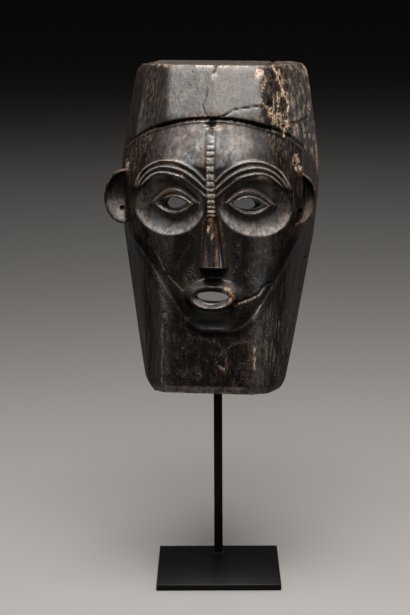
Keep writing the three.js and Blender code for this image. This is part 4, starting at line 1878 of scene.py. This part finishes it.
@dataclass
class Stand:
    """The square plate, the square bar and the crossbar in the mask's hollow, all of black steel.

    Attributes:
        bevel: How far the edges of the plate and the bar are eased.
        rounding: Faces across an eased edge.
        bead: The radius of the drops of weld.
        spacing: How far apart they lie, as a share of their radius.
    """

    bevel: float = 0.7 * MM
    rounding: int = 3
    bead: float = 1.5 * MM
    spacing: float = 0.8

    def block(self, node: str, steel: bpy.types.Material) -> Piece:
        """Make a bar or plate with eased edges that fills a node's box.

        Args:
            node: The node that it replaces.
            steel: Its material.

        Returns:
            The piece.
        """
        low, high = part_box(node)
        bpy.ops.mesh.primitive_cube_add(size=1)
        made = bpy.context.object
        made.name = made.data.name = node + "_steel"
        made.data.transform(Matrix.Translation((low + high) / 2) @ Matrix.Diagonal((*(high - low), 1)))
        edges = made.modifiers.new("edges", "BEVEL")
        edges.width = self.bevel
        edges.segments = self.rounding
        bake(made)
        made.data.materials.append(steel)
        shade_smooth(made, 30)
        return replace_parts(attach(made, "root"), node)

    def bead_tree(self) -> bpy.types.NodeTree:
        """Build the Geometry Nodes that lay drops of weld metal along a path.

        Returns:
            The tree.
        """
        tree = bpy.data.node_groups.new("weld_bead", "GeometryNodeTree")
        for name, kind in (("Geometry", "NodeSocketGeometry"), ("Drop radius", "NodeSocketFloat"),
                           ("Spacing", "NodeSocketFloat"), ("Steel", "NodeSocketMaterial")):
            tree.interface.new_socket(name, in_out="INPUT", socket_type=kind)
        tree.interface.new_socket("Geometry", in_out="OUTPUT", socket_type="NodeSocketGeometry")
        given, path, drop, laid, whole, dressed, result = (tree.nodes.new(kind) for kind in (
            "NodeGroupInput", "GeometryNodeResampleCurve", "GeometryNodeMeshIcoSphere",
            "GeometryNodeInstanceOnPoints", "GeometryNodeRealizeInstances", "GeometryNodeSetMaterial",
            "NodeGroupOutput"))
        path.mode = "LENGTH"
        drop.inputs["Subdivisions"].default_value = 2
        for source, output, target, socket in (
            (given, "Geometry", path, "Curve"), (given, "Spacing", path, "Length"),
            (given, "Drop radius", drop, "Radius"), (path, "Curve", laid, "Points"),
            (drop, "Mesh", laid, "Instance"), (laid, "Instances", whole, "Geometry"),
            (whole, "Geometry", dressed, "Geometry"), (given, "Steel", dressed, "Material"),
            (dressed, "Geometry", result, "Geometry"),
        ):
            tree.links.new(source.outputs[output], target.inputs[socket])
        return tree

    def weld(self, name: str, corners: list[Vector], steel: bpy.types.Material) -> Piece:
        """Make a bead of weld along a closed path.

        Args:
            name: The bead's name.
            corners: The corners of its path.
            steel: Its material.

        Returns:
            The bead.
        """
        line = bpy.data.curves.new(name + "_path", "CURVE")
        line.dimensions = "3D"
        spline = line.splines.new("POLY")
        spline.points.add(len(corners) - 1)
        for point, corner in zip(spline.points, corners):
            point.co = (*corner, 1)
        spline.use_cyclic_u = True
        made = linked(name + "_guide", line)
        tree = self.bead_tree()
        step = made.modifiers.new("bead", "NODES")
        step.node_group = tree
        named = {item.name: item.identifier for item in tree.interface.items_tree if item.in_out == "INPUT"}
        step[named["Drop radius"]] = self.bead
        step[named["Spacing"]] = self.bead * self.spacing
        step[named["Steel"]] = steel
        graph = bpy.context.evaluated_depsgraph_get()
        mesh = bpy.data.meshes.new_from_object(made.evaluated_get(graph))
        bpy.data.objects.remove(made, do_unlink=True)
        made = linked(name, mesh)
        shade_smooth(made, 60)
        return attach(made, "root")

    def build(self, steel: bpy.types.Material) -> list[Piece]:
        """Make the stand.

        Args:
            steel: Its material.

        Returns:
            Its pieces.
        """
        plate, upright = self.block("base_plate", steel), self.block("upright", steel)
        low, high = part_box("upright")
        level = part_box("base_plate")[1].z
        ways = ((low.x, low.y), (high.x, low.y), (high.x, high.y), (low.x, high.y))
        bead = self.weld("foot_weld", [Vector((x, y, level)) for x, y in ways], steel)
        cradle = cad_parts["cradle"]
        cradle.data.materials.clear()
        cradle.data.materials.append(steel)
        return [plate, upright, bead, cradle]


# The studio


@dataclass(frozen=True)
class Studio:
    """A pale floor, soft lights and the camera where the photograph was taken from.

    Attributes:
        camera_at: The camera's place, in metres.
        yaw: How far it is turned right, in degrees.
        pitch: How far it looks down.
        roll: How far it is tipped sideways.
        lens: Its focal length, in millimetres.
        sensor: The height of its picture on the film, in millimetres.
        far: How far it sees, in metres.
        floor_half: Half the floor's width, in metres.
        paper: The floor's colour.
        paper_roughness: How dull the floor is.
        glow: How strong the light from all sides is.
    """

    camera_at: Place = (-0.00276, -1.70517, 0.58529)
    yaw: float = -0.3185
    pitch: float = 10.612
    roll: float = -0.293
    lens: float = 105
    sensor: float = 36
    far: float = 200
    floor_half: float = 40
    paper: Colour = (0.176, 0.166, 0.157, 1)
    paper_roughness: float = 0.9
    glow: float = 0.02

    def camera(self) -> None:
        """Place the camera."""
        data = bpy.data.cameras.new("camera")
        data.sensor_fit, data.sensor_height, data.lens = "VERTICAL", self.sensor, self.lens
        data.clip_end = self.far
        yaw, pitch, roll = (math.radians(turn) for turn in (self.yaw, self.pitch, self.roll))
        ahead = Vector((math.sin(yaw) * math.cos(pitch), math.cos(yaw) * math.cos(pitch), -math.sin(pitch)))
        right = Vector((math.cos(yaw), -math.sin(yaw), 0))
        up = right.cross(ahead)
        across = math.cos(roll) * right + math.sin(roll) * up
        up = -math.sin(roll) * right + math.cos(roll) * up
        turn = Matrix((across, up, -ahead)).transposed().to_4x4()
        made = linked("camera", data)
        made.matrix_world = Matrix.Translation(self.camera_at) @ turn
        bpy.context.scene.camera = made

    def floor(self) -> None:
        """Lay the floor."""
        bpy.ops.mesh.primitive_plane_add(size=2 * self.floor_half)
        made = bpy.context.object
        made.name = "floor"
        paper = Shader("floor_paper")
        paper.feed(paper.principled, {"Base Color": self.paper, "Roughness": self.paper_roughness})
        made.data.materials.append(paper.material)

    def light(
        self, name: str, at: Place, size: Point, power: float, aim: Place = (0, 0, 0.32), spread: float = 180
    ) -> None:
        """Hang a soft rectangular light, aimed at a place.

        Args:
            name: The light's name.
            at: Where it hangs.
            size: Its two sides.
            power: In watts.
            aim: The place it faces.
            spread: The angle it shines in, in degrees.
        """
        data = bpy.data.lights.new(name, "AREA")
        data.shape, data.size, data.size_y, data.energy = "RECTANGLE", size[0], size[1], power
        data.spread = math.radians(spread)
        made = linked(name, data)
        made.location = at
        made.rotation_euler = (Vector(aim) - Vector(at)).to_track_quat("-Z", "Y").to_euler()

    def build(self) -> None:
        """Set up the whole studio."""
        self.camera()
        self.floor()
        self.light("overhead", (0, -0.28, 1.395), (0.81, 1.01), 44)
        self.light("front", (0.0, -1.5, 1.45), (0.8, 0.85), 8)
        self.light("left", (-1.9, 0.9, 0.9), (0.6, 1.2), 4)
        self.light("right", (1.9, 0.9, 0.9), (0.6, 1.2), 11)
        self.light("behind", (0.01, 0.36, 0.5), (0.1, 0.1), 0.05, (0.01, 0.12, 0), 50)
        self.light("ground", (0, 2.4, 2.8), (2.4, 1.6), 28, (0, 2.3, 0))
        world = bpy.data.worlds.new("room")
        world.use_nodes = True
        background = world.node_tree.nodes["Background"]
        background.inputs["Color"].default_value = (1, 1, 1, 1)
        background.inputs["Strength"].default_value = self.glow
        bpy.context.scene.world = world
        bpy.context.scene.view_settings.view_transform = "Standard"
        bpy.context.scene.view_settings.look = "Medium High Contrast"


def main() -> None:
    """Build every piece and report each."""
    logging.basicConfig(level=logging.INFO, format="%(message)s")
    mask = Mask().build(OldWood().make())
    mask.name = mask.data.name = "mask_carved"
    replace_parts(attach(mask, "root"), "mask")
    pieces = [mask, *Stand().build(BlackSteel().make())]
    for piece in pieces:
        log.info("%s: %d vertices", piece.name, len(piece.data.vertices))
    Studio().build()


if __name__ == "__main__":
    main()
